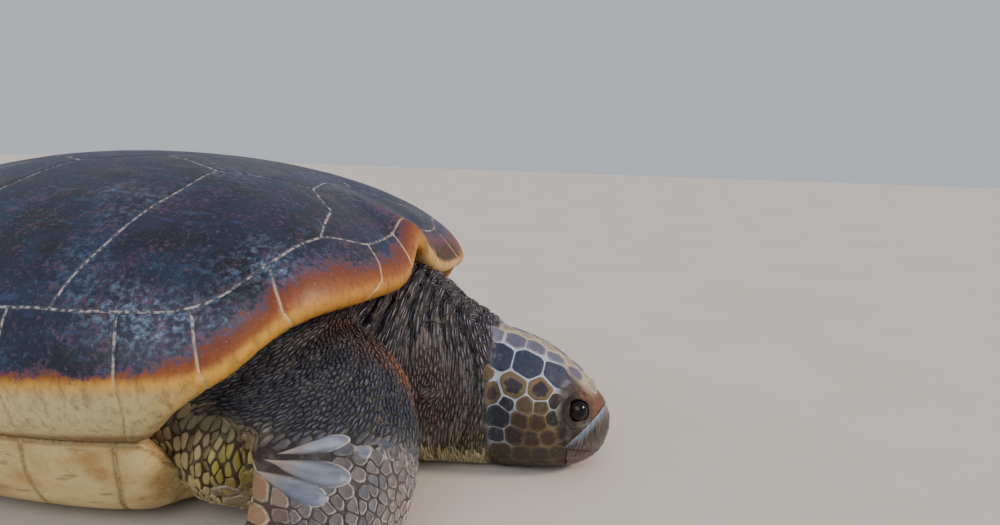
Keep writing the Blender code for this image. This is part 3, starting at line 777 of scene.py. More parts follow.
def seam_bone():
    """The lines between scutes and the shell's underside: chalky and pale on top, brown inside."""
    made, tree, shader = new_material("seam_horn_chalky", 0.7, specular=0.3)
    grain = noise(tree, 0.005, 4, 0.6)
    pale = blend(tree, ramp(tree, grain, 0.42, 0.62), "#3F4658", "#A8A6A6")
    warm = blend(tree, ramp(tree, grain, 0.35, 0.7), "#CDB98C", "#B08A50")
    pale = blend(tree, attribute(tree, "cover"), pale, warm)
    stripe = noise(tree, 0.009, 3, stretch=(0.5, 2.2, 0.5))
    brown = blend(tree, ramp(tree, stripe, 0.4, 0.64), "#2A1B12", "#7A5A38")
    tree.links.new(blend(tree, attribute(tree, "under"), pale, brown), shader.inputs["Base Color"])
    bump(tree, shader, stripe, 0.0006)
    return made


def belly_keratin():
    """Plastron scutes: thin waxy cream horn with tan clouds and old scrapes."""
    made, tree, shader = new_material("plastron_keratin_waxy", 0.42)
    cloud = noise(tree, 0.05, 4)
    colour = blend(tree, ramp(tree, cloud, 0.38, 0.7), "#D8C28A", "#B08A50")
    scrape = noise(tree, 0.012, 4, 0.65, stretch=(0.25, 1.3, 1.3))
    colour = blend(tree, ramp(tree, scrape, 0.54, 0.72, 0, 0.6), colour, "#7C5A34")
    colour = blend(tree, ramp(tree, noise(tree, 0.004, 3), 0.58, 0.75, 0, 0.4), colour, "#F0E3BE")
    colour = blend(tree, ramp(tree, attribute(tree, "edge"), 0.0, 0.004, 0.55, 0), colour, "#5E4226")
    tree.links.new(colour, shader.inputs["Base Color"])
    bump(tree, shader, scrape, 0.0003)
    return made


def wear(obj, *finishes):
    obj.data.materials.clear()
    for finish in finishes:
        obj.data.materials.append(finish)


def rim_colours(points, turn):
    """How much of the dark horn gives way near the rim, and to which colour."""
    side = folded(turn)
    above = points[:, 2] - rim_height(turn) - arch(turn)
    closed = bridge(turn)
    reach = mix(0.027, 0.012, closed) * mix(1, 0.6, ease(side, 100, 150))
    reach = reach * (1 + 0.15 * ripple(points, 0.05, 21))
    cover = 1 - ease(above / reach, 0.40, 1.75)
    tones = ("#6E3218", "#A25E20", "#D6A548", "#D9C793", "#6E4A2A")
    red, amber, gold, cream, brown = (linear(tone) for tone in tones)
    low = 1 - ease(above, 0.000, 0.026)
    tint = mix(red, amber, low[:, None])
    tint = mix(tint, gold, (mix(0.45, 1.0, ease(side, 24, 44)) * ease(low, 0.55, 1.0))[:, None])
    tint = mix(tint, cream, (closed * ease(-above, -0.006, 0.008))[:, None])
    tint = mix(tint, brown, (closed * ease(-above, 0.046, 0.056) * 0.8)[:, None])
    # beyond the neck the thin front lobe is brown with a bright lip
    lobe = ease(turn, 2, 4) * (1 - ease(turn, 17, 23)) * (1 - ease(above, 0.020, 0.034))
    streaky = linear("#3E2817") * (1 + 0.8 * np.clip(ripple(points * (1, 1, 0.25), 0.006, 24), 0, 1))[:, None]
    tint = mix(tint, streaky, (lobe * ease(above, 0.002, 0.006))[:, None])
    tint = mix(tint, linear("#E0B878"), (lobe * (1 - ease(above, 0.001, 0.005)))[:, None])
    return np.maximum(cover, lobe), tint


def shell():
    dome = Unrolled(carapace_at, 2.0, 1)
    keratin, bone = shell_keratin(), seam_bone()
    for kind, outlines in carapace_outlines(dome).items():
        plates, facts = scutes(f"carapace_scutes_{kind}", dome, outlines)
        points = points_of(plates.data)
        cover, tint = rim_colours(points, facts[:, 1])
        side = facts[:, 1]
        chalk = np.exp(-(((side + 47) / 9) ** 2) - ((points[:, 2] - 0.222) / 0.022) ** 2)
        chalk += 0.6 * np.exp(-(((side + 33) / 8) ** 2) - ((points[:, 2] - 0.262) / 0.018) ** 2)
        chalk += 0.35 * ease(ripple(points, 0.16, 31), 0.35, 0.9)
        look = {"cover": cover, "tint": tint, "edge": facts[:, 0], "chalk": np.clip(chalk, 0, 1)}
        for key, values in look.items():
            add_attribute(plates.data, key, values)
        wear(plates, keratin)
        placed(plates, "carapace")
    base = carapace_base()
    wear(base, bone)
    placed(base, "carapace", "carapace")
    belly = Unrolled(plastron_at, 1.0, -1)
    plates, facts = scutes("plastron_scutes", belly, plastron_outlines(belly))
    add_attribute(plates.data, "edge", facts[:, 0])
    wear(plates, belly_keratin())
    placed(plates, "plastron")
    base = plastron_base()
    wear(base, bone)
    placed(base, "plastron", "plastron")


# ---------------------------------------------------------------- body layout

# The line down the middle of each front limb: (place, half its width), from the shoulder to the tip
ARMS = {
    -1: (((0.356, 0.143, 0.140), 0.100), ((0.429, 0.187, 0.130), 0.093), ((0.470, 0.230, 0.108), 0.078),
         ((0.484, 0.267, 0.072), 0.074), ((0.481, 0.312, 0.034), 0.075), ((0.462, 0.389, 0.018), 0.072),
         ((0.413, 0.466, 0.014), 0.062), ((0.345, 0.528, 0.011), 0.048), ((0.254, 0.576, 0.008), 0.011)),
    1: (((0.335, 0.170, 0.112), 0.092), ((0.390, 0.230, 0.092), 0.083), ((0.425, 0.285, 0.066), 0.074),
        ((0.438, 0.328, 0.044), 0.070), ((0.438, 0.372, 0.027), 0.070), ((0.418, 0.448, 0.018), 0.069),
        ((0.370, 0.524, 0.014), 0.062), ((0.304, 0.588, 0.011), 0.048), ((0.214, 0.639, 0.008), 0.011)),
}
LEG = (((-0.315, 0.195, 0.074), 0.065), ((-0.370, 0.250, 0.048), 0.058), ((-0.425, 0.292, 0.022), 0.056),
       ((-0.490, 0.322, 0.013), 0.064), ((-0.545, 0.342, 0.010), 0.056), ((-0.596, 0.360, 0.008), 0.013))
FAN = (0.458, 0.075, 0.238)  # where the folds of neck and shoulder gather under the shell's edge


def swung(x, y, degrees):
    """A place in plan, swung round the shell's pole."""
    c, s = math.cos(math.radians(degrees)), math.sin(math.radians(degrees))
    return POLE_X + (x - POLE_X) * c - y * s, (x - POLE_X) * s + y * c


def unturned(points):
    """Neck and head points as if the head faced straight ahead."""
    return np.stack([*swung(points[:, 0], points[:, 1], -HEAD_TURN), points[:, 2]], axis=1)


def head_turned(point):
    return Vector((*swung(point[0], point[1], HEAD_TURN), point[2]))


def under_shell(points):
    """The turn and the share of the way to the rim of the shell above each point."""
    turns = np.arange(-180, 181, 1.0)
    ways = np.degrees(np.arctan2(*reversed(spoke(turns))))
    turn = np.interp(np.degrees(np.arctan2(points[:, 1], points[:, 0] - POLE_X)), ways, turns)
    return turn, np.hypot(points[:, 0] - POLE_X, points[:, 1]) / np.hypot(*spoke(turn))


def limb_place(points, line, side):
    """How far along a limb's line each point is (0 to 1), how far across it (-1 at the back to 1 in front),
    how near, and the directions along the limb and to its front."""
    spots = np.array([s[0] for s in line]) * (1, side, 1)
    halves = np.array([s[1] for s in line])
    run = np.diff(spots, axis=0)
    length = np.linalg.norm(run, axis=1)
    best = np.full(len(points), np.inf)
    along, across = np.zeros(len(points)), np.zeros(len(points))
    ways, leads = np.zeros((len(points), 3)), np.zeros((len(points), 3))
    total, done = length.sum(), 0.0
    for k in range(len(run)):
        u = np.clip(((points - spots[k]) @ run[k]) / length[k] ** 2, 0, 1)
        off = points - spots[k] - run[k] * u[:, None]
        near = np.linalg.norm(off, axis=1)
        way = run[k] / length[k]
        lead = unit(np.cross(way, (0, 0, side)))
        closer = near < best
        best = np.where(closer, near, best)
        along = np.where(closer, (done + u * length[k]) / total, along)
        across = np.where(closer, (off @ lead) / mix(halves[k], halves[k + 1], u), across)
        ways = np.where(closer[:, None], way, ways)
        leads = np.where(closer[:, None], lead, leads)
        done += length[k]
    return along, across, best, ways, leads


ELBOW = 0.27  # how far along the front limb the elbow is


def layout(points):
    """Where on the animal each point is: weights between 0 and 1, and places along and across its limb."""
    side = np.where(points[:, 1] < 0, -1, 1)
    found = {}
    fields = ("along", "across", "near", "ways", "leads")
    arms = [limb_place(points, ARMS[s], s) for s in (-1, 1)]
    legs = [limb_place(points, LEG, s) for s in (-1, 1)]
    for name, pair in (("arm", arms), ("leg", legs)):
        for k, field in enumerate(fields):
            shape = side[:, None] if pair[0][k].ndim == 2 else side
            found[f"{name}_{field}"] = np.where(shape < 0, pair[0][k], pair[1][k])
    local = unturned(points)
    turn, share = under_shell(points)
    found.update(local=local, turn=turn, share=share)
    ahead = points[:, 0] > 0.25
    neck_wide = mix(0.128, 0.075, ease(local[:, 0], 0.43, 0.50))
    neck = ease(neck_wide - np.abs(local[:, 1]), -0.012, 0.008) * ease(local[:, 0], 0.36, 0.40)
    found["head"] = ease(local[:, 0], HEAD_BACK - 0.003, HEAD_BACK + 0.003) * (np.abs(local[:, 1]) < 0.09)
    found["neck"] = neck * (1 - found["head"])
    forearm = ease(found["arm_along"], ELBOW - 0.03, ELBOW + 0.03) * (found["arm_near"] < 0.12)
    forearm = forearm * ahead * (1 - neck)
    found["forearm"] = forearm
    rest = ahead * (1 - forearm) * (1 - np.maximum(neck, found["head"]))
    # the armpit: below and behind the raised upper arm
    slack = mix(0.150, 0.115, ease(np.abs(points[:, 1]), 0.17, 0.27))
    armpit = ease(slack - points[:, 2], -0.02, 0.02) * ease(0.430 - points[:, 0], -0.015, 0.025)
    found["armpit"] = rest * np.maximum(armpit, ease(0.330 - points[:, 0], -0.02, 0.02))
    found["shoulder"] = rest * (1 - found["armpit"] / np.maximum(rest, 1e-6))
    found["hind"] = 1.0 * (points[:, 0] < -0.15)
    return found


def fold_phase(points):
    """Counts the skin folds: a fan that hangs from under the shell's edge over the neck and the shoulder."""
    local = unturned(points)
    x, z = local[:, 0], local[:, 2]
    low, high = ease(z, 0.02, 0.24), ease(z, 0.08, 0.25)
    neck = (x - mix(0.400, 0.452, low)) / mix(0.156, 0.060, high) * 9
    away = np.abs(points[:, 1]) - FAN[1]
    back = (points[:, 0] - FAN[0]) * -0.36 + away * 0.93
    down = FAN[2] - z
    shoulder = -np.arctan2(np.maximum(back, -0.02) + 0.02, np.maximum(down, 0.0) + 0.012) * 15
    return neck, shoulder


# ---------------------------------------------------------------- skin


def thinned(obj, weights, faces):
    """Collapses the mesh to about that many triangles, where the weights are 1 first."""
    group = obj.vertex_groups.new(name="thin")
    levels = np.round(weights * 4).astype(int)
    for level in range(1, 5):
        group.add(np.flatnonzero(levels == level).tolist(), level / 4, "REPLACE")
    thin = obj.modifiers.new("thin", "DECIMATE")
    thin.vertex_group = "thin"
    thin.vertex_group_factor = 1000
    thin.ratio = faces / len(triangles_of(obj.data))
    evaluated(obj)
    obj.vertex_groups.clear()


def pleats(points):
    """Slack skin of the armpit hangs in a few deep upright folds: 1 on their crests, 0 in the valleys."""
    run = points[:, 0] + np.abs(points[:, 1]) * 0.3 + 0.12 * points[:, 2]
    return np.abs(np.sin(math.pi * run / 0.017 + ripple(points, 0.09, 41) * 0.7)) ** 0.6


def skin_form():
    """The flesh as one closed skin, inside the solids by the depth of the scales, with its folds."""
    skin = remeshed("skin", FLESH, 0.0005, SKIN_VOXEL)
    smoothed(skin.data, 6)
    points = points_of(skin.data)
    turn, share = under_shell(points)
    hidden = (share < 0.66) | ((bridge(turn) > 0.7) & (share < 0.93) & (np.abs(points[:, 1]) > 0.2))
    thinned(skin, np.where(hidden, 1.0, 0.0), len(triangles_of(skin.data)) - int(hidden.sum() * 1.94))
    points = points_of(skin.data)
    fine = (points[:, 0] > 0.30) & (under_shell(points)[1] > 0.66) & (layout(points)["forearm"] < 0.5)
    thinned(skin, np.where(fine, 0.0, 1.0), SKIN_TRIANGLES)
    points, normals = points_of(skin.data), normals_of(skin.data)
    place = layout(points)
    neck, shoulder = fold_phase(points)
    z = points[:, 2]
    wander = ripple(points, 0.09, 41) * 0.35
    ridge = np.abs(np.sin(math.pi * (neck * 0.55 + wander))) ** 0.7 - 0.7
    crease = np.abs(np.sin(math.pi * (neck * 1.5 + wander * 2))) ** 0.8 - 0.6
    free = ease(z, 0.0, 0.02) * ease(0.552 - place["local"][:, 0], 0.0, 0.012)
    lift = place["neck"] * free * (ridge * mix(0.0060, 0.0085, ease(z, 0.1, 0.24)) + crease * 0.0024)
    fan = np.hypot(np.abs(points[:, 1]) - FAN[1], z - FAN[2])
    ridge = np.abs(np.sin(math.pi * (shoulder * 0.6 + wander))) ** 0.75 - 0.65
    spread = ease(fan, 0.01, 0.08) * (1 - ease(fan, 0.17, 0.26))
    lift += (place["shoulder"] + place["armpit"]) * ridge * 0.0034 * spread
    lift += (place["armpit"] * (pleats(points) - 0.75) * 0.0050 * ease(z, 0.01, 0.04)
             * (1 - ease(z, 0.09, 0.13)))
    lift += 0.0004 * ripple(points, 0.02, 43) * (1 - place["forearm"])
    inward = 0.0005 + COAT_DEPTH * (1 - ease(place["local"][:, 0], 0.640, 0.652))
    points = points + normals * (lift - inward)[:, None]
    points[:, 2] = np.maximum(points[:, 2], 0.0009)
    set_points(skin.data, points)
    skin.data.shade_smooth()
    return skin


# ---------------------------------------------------------------- markings


def blended(points, parts):
    """One colour per point from (weight, hex colour) layers, each laid over the ones before it."""
    colour = np.zeros((len(points), 3))
    for weight, hex_colour in parts:
        colour = mix(colour, linear(hex_colour), np.broadcast_to(weight, len(points))[:, None])
    return colour


def markings(points, normals):
    """The animal's colours, with some painted light and shade: of a scale's middle, of its rim, and of the
    skin between scales.
    """
    place = layout(points)
    z = points[:, 2]
    below = ease(-normals[:, 2], 0.25, 0.75) * (1 - ease(z, 0.10, 0.16))
    drift = ripple(points, 0.035, 52)
    neck, shoulder, armpit, forearm = (place[k] for k in ("neck", "shoulder", "armpit", "forearm"))
    low = 1 - ease(z, 0.03, 0.12)
    near_neck = ease(0.175 - np.abs(points[:, 1]), -0.02, 0.035)
    crease = np.exp(-(((np.abs(points[:, 1]) - 0.150) / 0.020) ** 2)) * (1 - ease(z, 0.14, 0.19))
    behind = ease(0.375 - points[:, 0], 0.0, 0.05)
    # painted highlight: the neck's scales are paler on the crests of its folds, where light catches them
    fold_crest_highlight = np.abs(np.sin(math.pi * (fold_phase(points)[0] * 0.55 + ripple(points, 0.09, 41) * 0.35)))
    trail = ease(-place["arm_across"], 0.1, 0.9)
    blade = ease(place["arm_along"], 0.42, 0.55)
    past_elbow = forearm * ease(place["arm_along"], ELBOW - 0.02, ELBOW + 0.06)
    middle = blended(points, [
        (1, "#3C404B"), (ease(drift, 0, 0.8) * 0.4, "#565A66"),
        (neck, "#6A6878"), (neck * ease(drift, -0.2, 0.7) * 0.7, "#3D4156"),
        (neck * fold_crest_highlight * 0.6, "#8E8AA0"), (neck * low * 0.9, "#84723E"),
        (neck * low * ease(drift, 0, 0.8) * 0.7, "#A39260"),
        (shoulder, "#343E56"), (shoulder * ease(drift, 0.1, 0.8) * 0.6, "#66718A"),
        (shoulder * near_neck * 0.8, "#8A6C60"), ((shoulder + neck * 0.6) * crease, "#C47A38"),
        (armpit, "#B3A244"), (armpit * ease(drift, -0.2, 0.7) * 0.75, "#D3C494"),
        # painted shade: the armpit's scales are darker in the valleys between its pleats
        (armpit * behind * 0.75, "#BFA67C"), (armpit * (1 - pleats(points)) * 0.8, "#5A4A2C"),
        (armpit * ease(z, 0.085, 0.120) * 0.92, "#2E3340"),
        (past_elbow, "#756C6A"), (past_elbow * ease(drift, -0.2, 0.7) * 0.7, "#666B78"),
        (past_elbow * trail * 0.85, "#B48C64"), (past_elbow * blade * (1 - trail) * 0.75, "#4A5160"),
        (place["hind"], "#474C58"), (place["hind"] * ease(drift, 0, 0.8) * 0.5, "#68645F"),
        (below * (1 - place["head"]) * (1 - armpit) * 0.85, "#C7B488"),
    ])
    rim = blended(points, [
        (1, "#8D8A86"), (neck, "#23222C"), (neck * low * 0.8, "#3E3520"), (shoulder, "#161B28"),
        (shoulder * near_neck * 0.7, "#3A2A26"), ((shoulder + neck * 0.6) * crease * 0.9, "#6E3E1C"),
        (armpit, "#94864C"), (armpit * ease(z, 0.085, 0.120) * 0.92, "#20232C"), (past_elbow, "#B9B2AA"),
        (past_elbow * trail * 0.7, "#D3BB98"), (below * (1 - place["head"]) * 0.8, "#DDCDA4"),
    ])
    groove = blended(points, [
        (1, "#1D1E25"), (neck * low * 0.8, "#2A2316"), (neck * (1 - low) * 0.5, "#1B1B24"),
        ((shoulder + neck * 0.6) * crease, "#5A2F16"), (armpit, "#3E2F1A"), (past_elbow, "#4A4344"),
        (past_elbow * trail * 0.7, "#5E4838"), (below * (1 - place["head"]) * 0.8, "#8F7C58"),
    ])
    local = place["local"]
    face = place["head"]
    high = ease(local[:, 2], 0.078, 0.098) * (1 - ease(local[:, 0], 0.640, 0.650))
    # painted shade: the skin low on the head and under the jaw is darker
    under = 1 - ease(local[:, 2], 0.012, 0.050)
    jowl = (1 - ease(local[:, 0], 0.580, 0.592)) * ease(local[:, 2], 0.028, 0.045)
    # painted shade: the skin behind and round the eye is near black; towards the beak it turns brown
    muzzle = ease(local[:, 0], 0.630, 0.642)
    # painted warm light: the skin along the top of the head is a warm cream, as if lit from above
    crown = ease(0.030 - np.abs(local[:, 1]), -0.006, 0.012) * ease(local[:, 2], 0.09, 0.11)
    hide = blended(points, [
        (1, "#75674A"), (ease(drift, 0, 0.8) * 0.6, "#5E5038"), (jowl * 0.7, "#8C98A8"), (high, "#B4BFD2"),
        (muzzle, "#2E2724"), (muzzle * ease(local[:, 0], 0.655, 0.672) * 0.85, "#6E4632"),
        (crown * 0.85, "#BDAF9A"), (under, "#3E3220"),
    ])
    groove = mix(groove, hide, face[:, None])
    middle = mix(middle, hide, face[:, None])
    return middle, rim, groove


# ---------------------------------------------------------------- scales


def steepest(field, points):
    """The direction in which a field over space grows fastest."""
    step = 0.0008
    return unit(np.stack([field(points + row) - field(points - row) for row in np.eye(3) * step], axis=1))


def lay_of_scales(points, normals):
    """Length and width of the scales at each point, and the direction of their length."""
    place = layout(points)
    neck, shoulder, armpit, forearm = (place[k][:, None] for k in ("neck", "shoulder", "armpit", "forearm"))
    across = place["arm_across"]
    lead, trail = ease(across, 0.0, 0.9), ease(-across, 0.1, 0.8)
    blade = ease(place["arm_along"], 0.45, 0.9)

    def size(length, width):
        return np.stack([np.broadcast_to(length, len(points)), np.broadcast_to(width, len(points))], axis=1)

    sizes = size(0.0095, 0.0078)
    near_head = ease(place["local"][:, 0], 0.505, 0.540)
    sizes = mix(sizes, size(mix(0.0330, 0.0180, near_head), 0.0033), ease(neck, 0.05, 0.45))
    centre = np.exp(-(((points[:, 0] - 0.455) / 0.030) ** 2) - ((points[:, 2] - 0.155) / 0.030) ** 2)
    sizes = mix(sizes, size(mix(0.0125, 0.0070, centre), mix(0.0034, 0.0042, centre)), shoulder)
    sizes = mix(sizes, size(0.0150, 0.0080), armpit)
    plates = size(mix(mix(0.0145, 0.0120, lead), 0.030, trail), mix(mix(0.0100, 0.0066, lead), 0.0150, trail))
    sizes = mix(sizes, plates * mix(1.0, 0.72, blade)[:, None], forearm)
    sizes = sizes * (1 - 0.25 * ease(np.abs(normals[:, 2]) * (normals[:, 2] < 0), 0.3, 0.8))[:, None]

    hang = np.cross(normals, steepest(lambda p: fold_phase(p)[0], points))
    fan = np.cross(normals, steepest(lambda p: fold_phase(p)[1], points))
    limb = mix(place["arm_leads"], place["arm_ways"], (0.25 + 0.6 * lead)[:, None])
    fallback = np.where(place["hind"][:, None] > 0.5, place["leg_ways"], (0.1, 0.0, 1.0))
    grain = mix(fallback, hang * np.sign(hang[:, 2:3] + 1e-9), neck)
    grain = mix(grain, fan * np.sign(fan[:, 2:3] + 1e-9), shoulder)
    grain = mix(grain, limb, forearm)
    grain = grain - normals * (grain * normals).sum(1, keepdims=True)
    return sizes, unit(grain + 1e-6)


def scattered(mesh, wanted, apart=0.76):
    """Roots of scales spread over part of a mesh, closer together where the scales are smaller."""
    points, normals, corners = points_of(mesh), normals_of(mesh), triangles_of(mesh)
    sizes = lay_of_scales(points, normals)[0]
    area = np.linalg.norm(np.cross(points[corners[:, 1]] - points[corners[:, 0]],
                                   points[corners[:, 2]] - points[corners[:, 0]]), axis=1) / 2
    share = area * wanted[corners].mean(1) / sizes.prod(1)[corners].mean(1)
    count = int(share.sum() * 9)
    chosen = corners[CHANCE.choice(len(corners), count, p=share / share.sum())]
    split = CHANCE.dirichlet((1, 1, 1), count)[:, :, None]
    roots, facing = (points[chosen] * split).sum(1), unit((normals[chosen] * split).sum(1))
    sizes, grain = lay_of_scales(roots, facing)
    side = np.cross(facing, grain)
    tree = KDTree(count)
    for i, root in enumerate(roots):
        tree.insert(root, i)
    tree.balance()
    free = np.ones(count, bool)
    kept = []
    for i in range(count):
        if not free[i]:
            continue
        kept.append(i)
        near = np.array([found[1] for found in tree.find_range(roots[i], float(sizes[i, 0]) * apart)])
        gap = roots[near] - roots[i]
        close = (gap @ grain[i] / sizes[i, 0]) ** 2 + (gap @ side[i] / sizes[i, 1]) ** 2 < apart**2
        free[near[close & (facing[near] @ facing[i] > 0)]] = False
    return roots[kept], facing[kept], grain[kept], sizes[kept]


def reaches(roots, facing, grain, sizes, directions, near, most, swell=None):
    """How far each scale spreads in each direction before it meets a neighbour, as shares of its size.
    Scales with a larger `swell` push their borders towards smaller ones."""
    tree = KDTree(len(roots))
    for i, root in enumerate(roots):
        tree.insert(root, i)
    tree.balance()
    near = min(near, len(roots))
    index = np.array([[found[1] for found in tree.find_n(root, near)] for root in roots])[:, 1:]
    gap = roots[index] - roots[:, None]
    side = np.cross(facing, grain)
    a = (gap * grain[:, None]).sum(-1) / sizes[:, :1]
    b = (gap * side[:, None]).sum(-1) / sizes[:, 1:]
    blocked = (facing[index] * facing[:, None]).sum(-1) > 0
    angles = np.linspace(0, 2 * math.pi, directions, endpoint=False)
    result = np.empty((len(roots), directions))
    push = 0 if swell is None else swell[:, None] ** 2 - swell[index] ** 2
    for k, angle in enumerate(angles):
        toward = a * math.cos(angle) + b * math.sin(angle)
        meet = (a * a + b * b + push) / (2 * np.maximum(toward, 1e-6))
        result[:, k] = np.where(blocked & (toward > 1e-6), meet, 9.0).min(1)
    return np.clip(result, 0.02, most), angles


class Unwrap:
    """An unwrap of the skin's own shape, to give each scale its place on the baked picture."""

    def __init__(self, skin):
        proxy = skin.copy()
        proxy.data = skin.data.copy()
        bpy.context.scene.collection.objects.link(proxy)
        thinned(proxy, np.ones(len(proxy.data.vertices)), UNWRAP_TRIANGLES)
        bpy.context.view_layer.objects.active = proxy
        proxy.select_set(True)
        bpy.ops.object.mode_set(mode="EDIT")
        bpy.ops.mesh.select_all(action="SELECT")
        bpy.ops.uv.smart_project(angle_limit=math.radians(60), island_margin=0.004)
        bpy.ops.object.mode_set(mode="OBJECT")
        mesh = proxy.data
        uvs = np.empty(len(mesh.loops) * 2, np.float32)
        mesh.uv_layers.active.data.foreach_get("uv", uvs)
        mesh.calc_loop_triangles()
        loops = np.empty(len(mesh.loop_triangles) * 3, np.int32)
        mesh.loop_triangles.foreach_get("loops", loops)
        self.uvs = uvs.reshape(-1, 2)[loops.reshape(-1, 3)]
        self.corners = points_of(mesh)[triangles_of(mesh)]
        self.tree = tree_of(mesh)
        bpy.data.objects.remove(proxy)

    def __call__(self, points):
        result = np.zeros((len(points), 2))
        for i, point in enumerate(points):
            spot, _, face, _ = self.tree.find_nearest(point)
            a, b, c = self.corners[face]
            edge, edge_2, off = b - a, c - a, np.array(spot) - a
            dot = np.array([[edge @ edge, edge @ edge_2], [edge @ edge_2, edge_2 @ edge_2]])
            share = np.linalg.solve(dot + np.eye(2) * 1e-14, (off @ edge, off @ edge_2))
            u = self.uvs[face]
            result[i] = u[0] + (u[1] - u[0]) * share[0] + (u[2] - u[0]) * share[1]
        return result


def snapped(tree, points):
    """The nearest places on a surface, and its normals there."""
    spots, normals = np.empty_like(points), np.empty_like(points)
    for i, point in enumerate(points):
        spot, normal, _, _ = tree.find_nearest(point)
        spots[i], normals[i] = spot, normal
    return spots, normals


PATCH = 0.003  # the width of one scale's place on the baked picture


def give_bake_map(made, spots):
    """Stores each point's place on the baked picture."""
    layer = made.data.uv_layers.new(name="OFBake")
    index = np.empty(len(made.data.loops), np.int32)
    made.data.loops.foreach_get("vertex_index", index)
    layer.data.foreach_set("uv", spots[index].astype(np.float32).ravel())


def coat(name, tree, unwrap, lay, reach, angles, profile, gap, rise, colours, start):
    """Solid scales from their outlines. `profile` gives (share of the outline, share of the rise) rings, and
    `start` the share of each scale where the colour of its border begins."""
    roots, facing, grain, sizes = lay
    side = np.cross(facing, grain)
    count, around = len(roots), len(angles)
    way = (grain[:, None] * (np.cos(angles)[None, :, None] * sizes[:, :1, None])
           + side[:, None] * (np.sin(angles)[None, :, None] * sizes[:, 1:, None])) * reach[:, :, None]
    length = np.linalg.norm(way, axis=2, keepdims=True)
    way = way * np.maximum(1 - gap[:, None, None] / 2 / np.maximum(length, 1e-6), 0.3)
    rings = [share for share, _ in profile[1:]]
    spots = np.concatenate([roots[:, None], *[roots[:, None] + way * share for share in rings]], axis=1)
    per = 1 + len(rings) * around
    spots, normals = snapped(tree, spots.reshape(-1, 3))
    height = np.concatenate([[profile[0][1]], *[np.full(around, level) for _, level in profile[1:]]])
    lift = (height[None] * rise[:, None]).reshape(-1, 1)
    normals = unit(normals.reshape(count, per, 3) + facing[:, None]).reshape(-1, 3)
    points = (spots + normals * lift).reshape(count, per, 3)
    points = np.concatenate([points, (roots - facing * 0.0016)[:, None]], axis=1)
    faces = []
    for j in range(around):
        k = (j + 1) % around
        faces.append((0, 1 + j, 1 + k))
        for ring in range(len(rings) - 1):
            a, b = 1 + ring * around, 1 + (ring + 1) * around
            faces += [(a + j, b + j, b + k), (a + j, b + k, a + k)]
        last = 1 + (len(rings) - 1) * around
        faces.append((last + k, last + j, per))
    faces = (np.array(faces)[None] + (np.arange(count) * (per + 1))[:, None, None]).reshape(-1, 3)
    edge = np.concatenate([[0], *[np.full(around, share) for share in rings], [1]])
    middle, rim = colours
    repeated = {
        "rim": (edge[None] / start[:, None]).ravel(),
        "tone": np.repeat(CHANCE.uniform(size=count), per + 1),
        "middle": np.repeat(middle, per + 1, axis=0),
        "border": np.repeat(rim, per + 1, axis=0),
    }
    made = mesh_object(name, points.reshape(-1, 3), faces, repeated)
    circle = np.stack([np.cos(angles), np.sin(angles)], axis=1)
    circles = [circle * share for share in rings]
    local = np.concatenate([np.zeros((1, 2)), *circles, np.zeros((1, 2))]) * PATCH / 2
    spots = (unwrap(roots)[:, None] + local[None]).reshape(-1, 2)
    give_bake_map(made, spots)
    return made


# ---------------------------------------------------------------- head shields

# (place along the head, angle from the crown, spread, kind); those off the crown come in pairs
HEAD_SHIELDS = (
    (0.564, 38, 0.0165, "navy"), (0.5985, 40, 0.0175, "navy"), (0.632, 42, 0.0150, "navy"),
    (0.584, 63, 0.0135, "ringed"), (0.6155, 64, 0.0125, "ringed"), (0.5595, 71, 0.0110, "dim"),
    (0.5530, 54, 0.0075, "ochre"), (0.577, 80, 0.0070, "slate"), (0.568, 93, 0.0130, "slate"),
    (0.566, 112, 0.0080, "slate"), (0.588, 110, 0.0105, "purple"), (0.600, 80, 0.0085, "ochre"),
    (0.617, 80, 0.0075, "ochre"), (0.594, 95, 0.0090, "cheek"), (0.614, 96, 0.0090, "cheek"),
    (0.608, 113, 0.0085, "cheek"), (0.627, 112, 0.0075, "cheek"), (0.632, 92, 0.0065, "postocular_shade"),
    (0.634, 74, 0.0070, "postocular_shade"), (0.556, 18, 0.0100, "crown"), (0.580, 17, 0.0115, "crown"),
    (0.604, 17, 0.0110, "crown"), (0.628, 18, 0.0095, "crown"), (0.652, 22, 0.0080, "crown"),
    (0.672, 17, 0.0075, "ridge"), (0.572, 131, 0.0110, "shaded_chin"), (0.596, 131, 0.0100, "shaded_chin"),
    (0.618, 131, 0.0090, "shaded_chin"), (0.638, 130, 0.0080, "shaded_chin"), (0.584, 153, 0.0120, "shaded_chin"),
    (0.610, 154, 0.0110, "shaded_chin"), (0.634, 154, 0.0090, "shaded_chin"),
    (0.566, 0, 0.0080, "ridge"), (0.590, 0, 0.0100, "ridge"), (0.617, 0, 0.0135, "ridge"),
    (0.644, 0, 0.0085, "ridge"), (0.664, 0, 0.0060, "ridge"),
)
SHIELD_SPAN = 0.05  # no shield spreads further than this from its middle
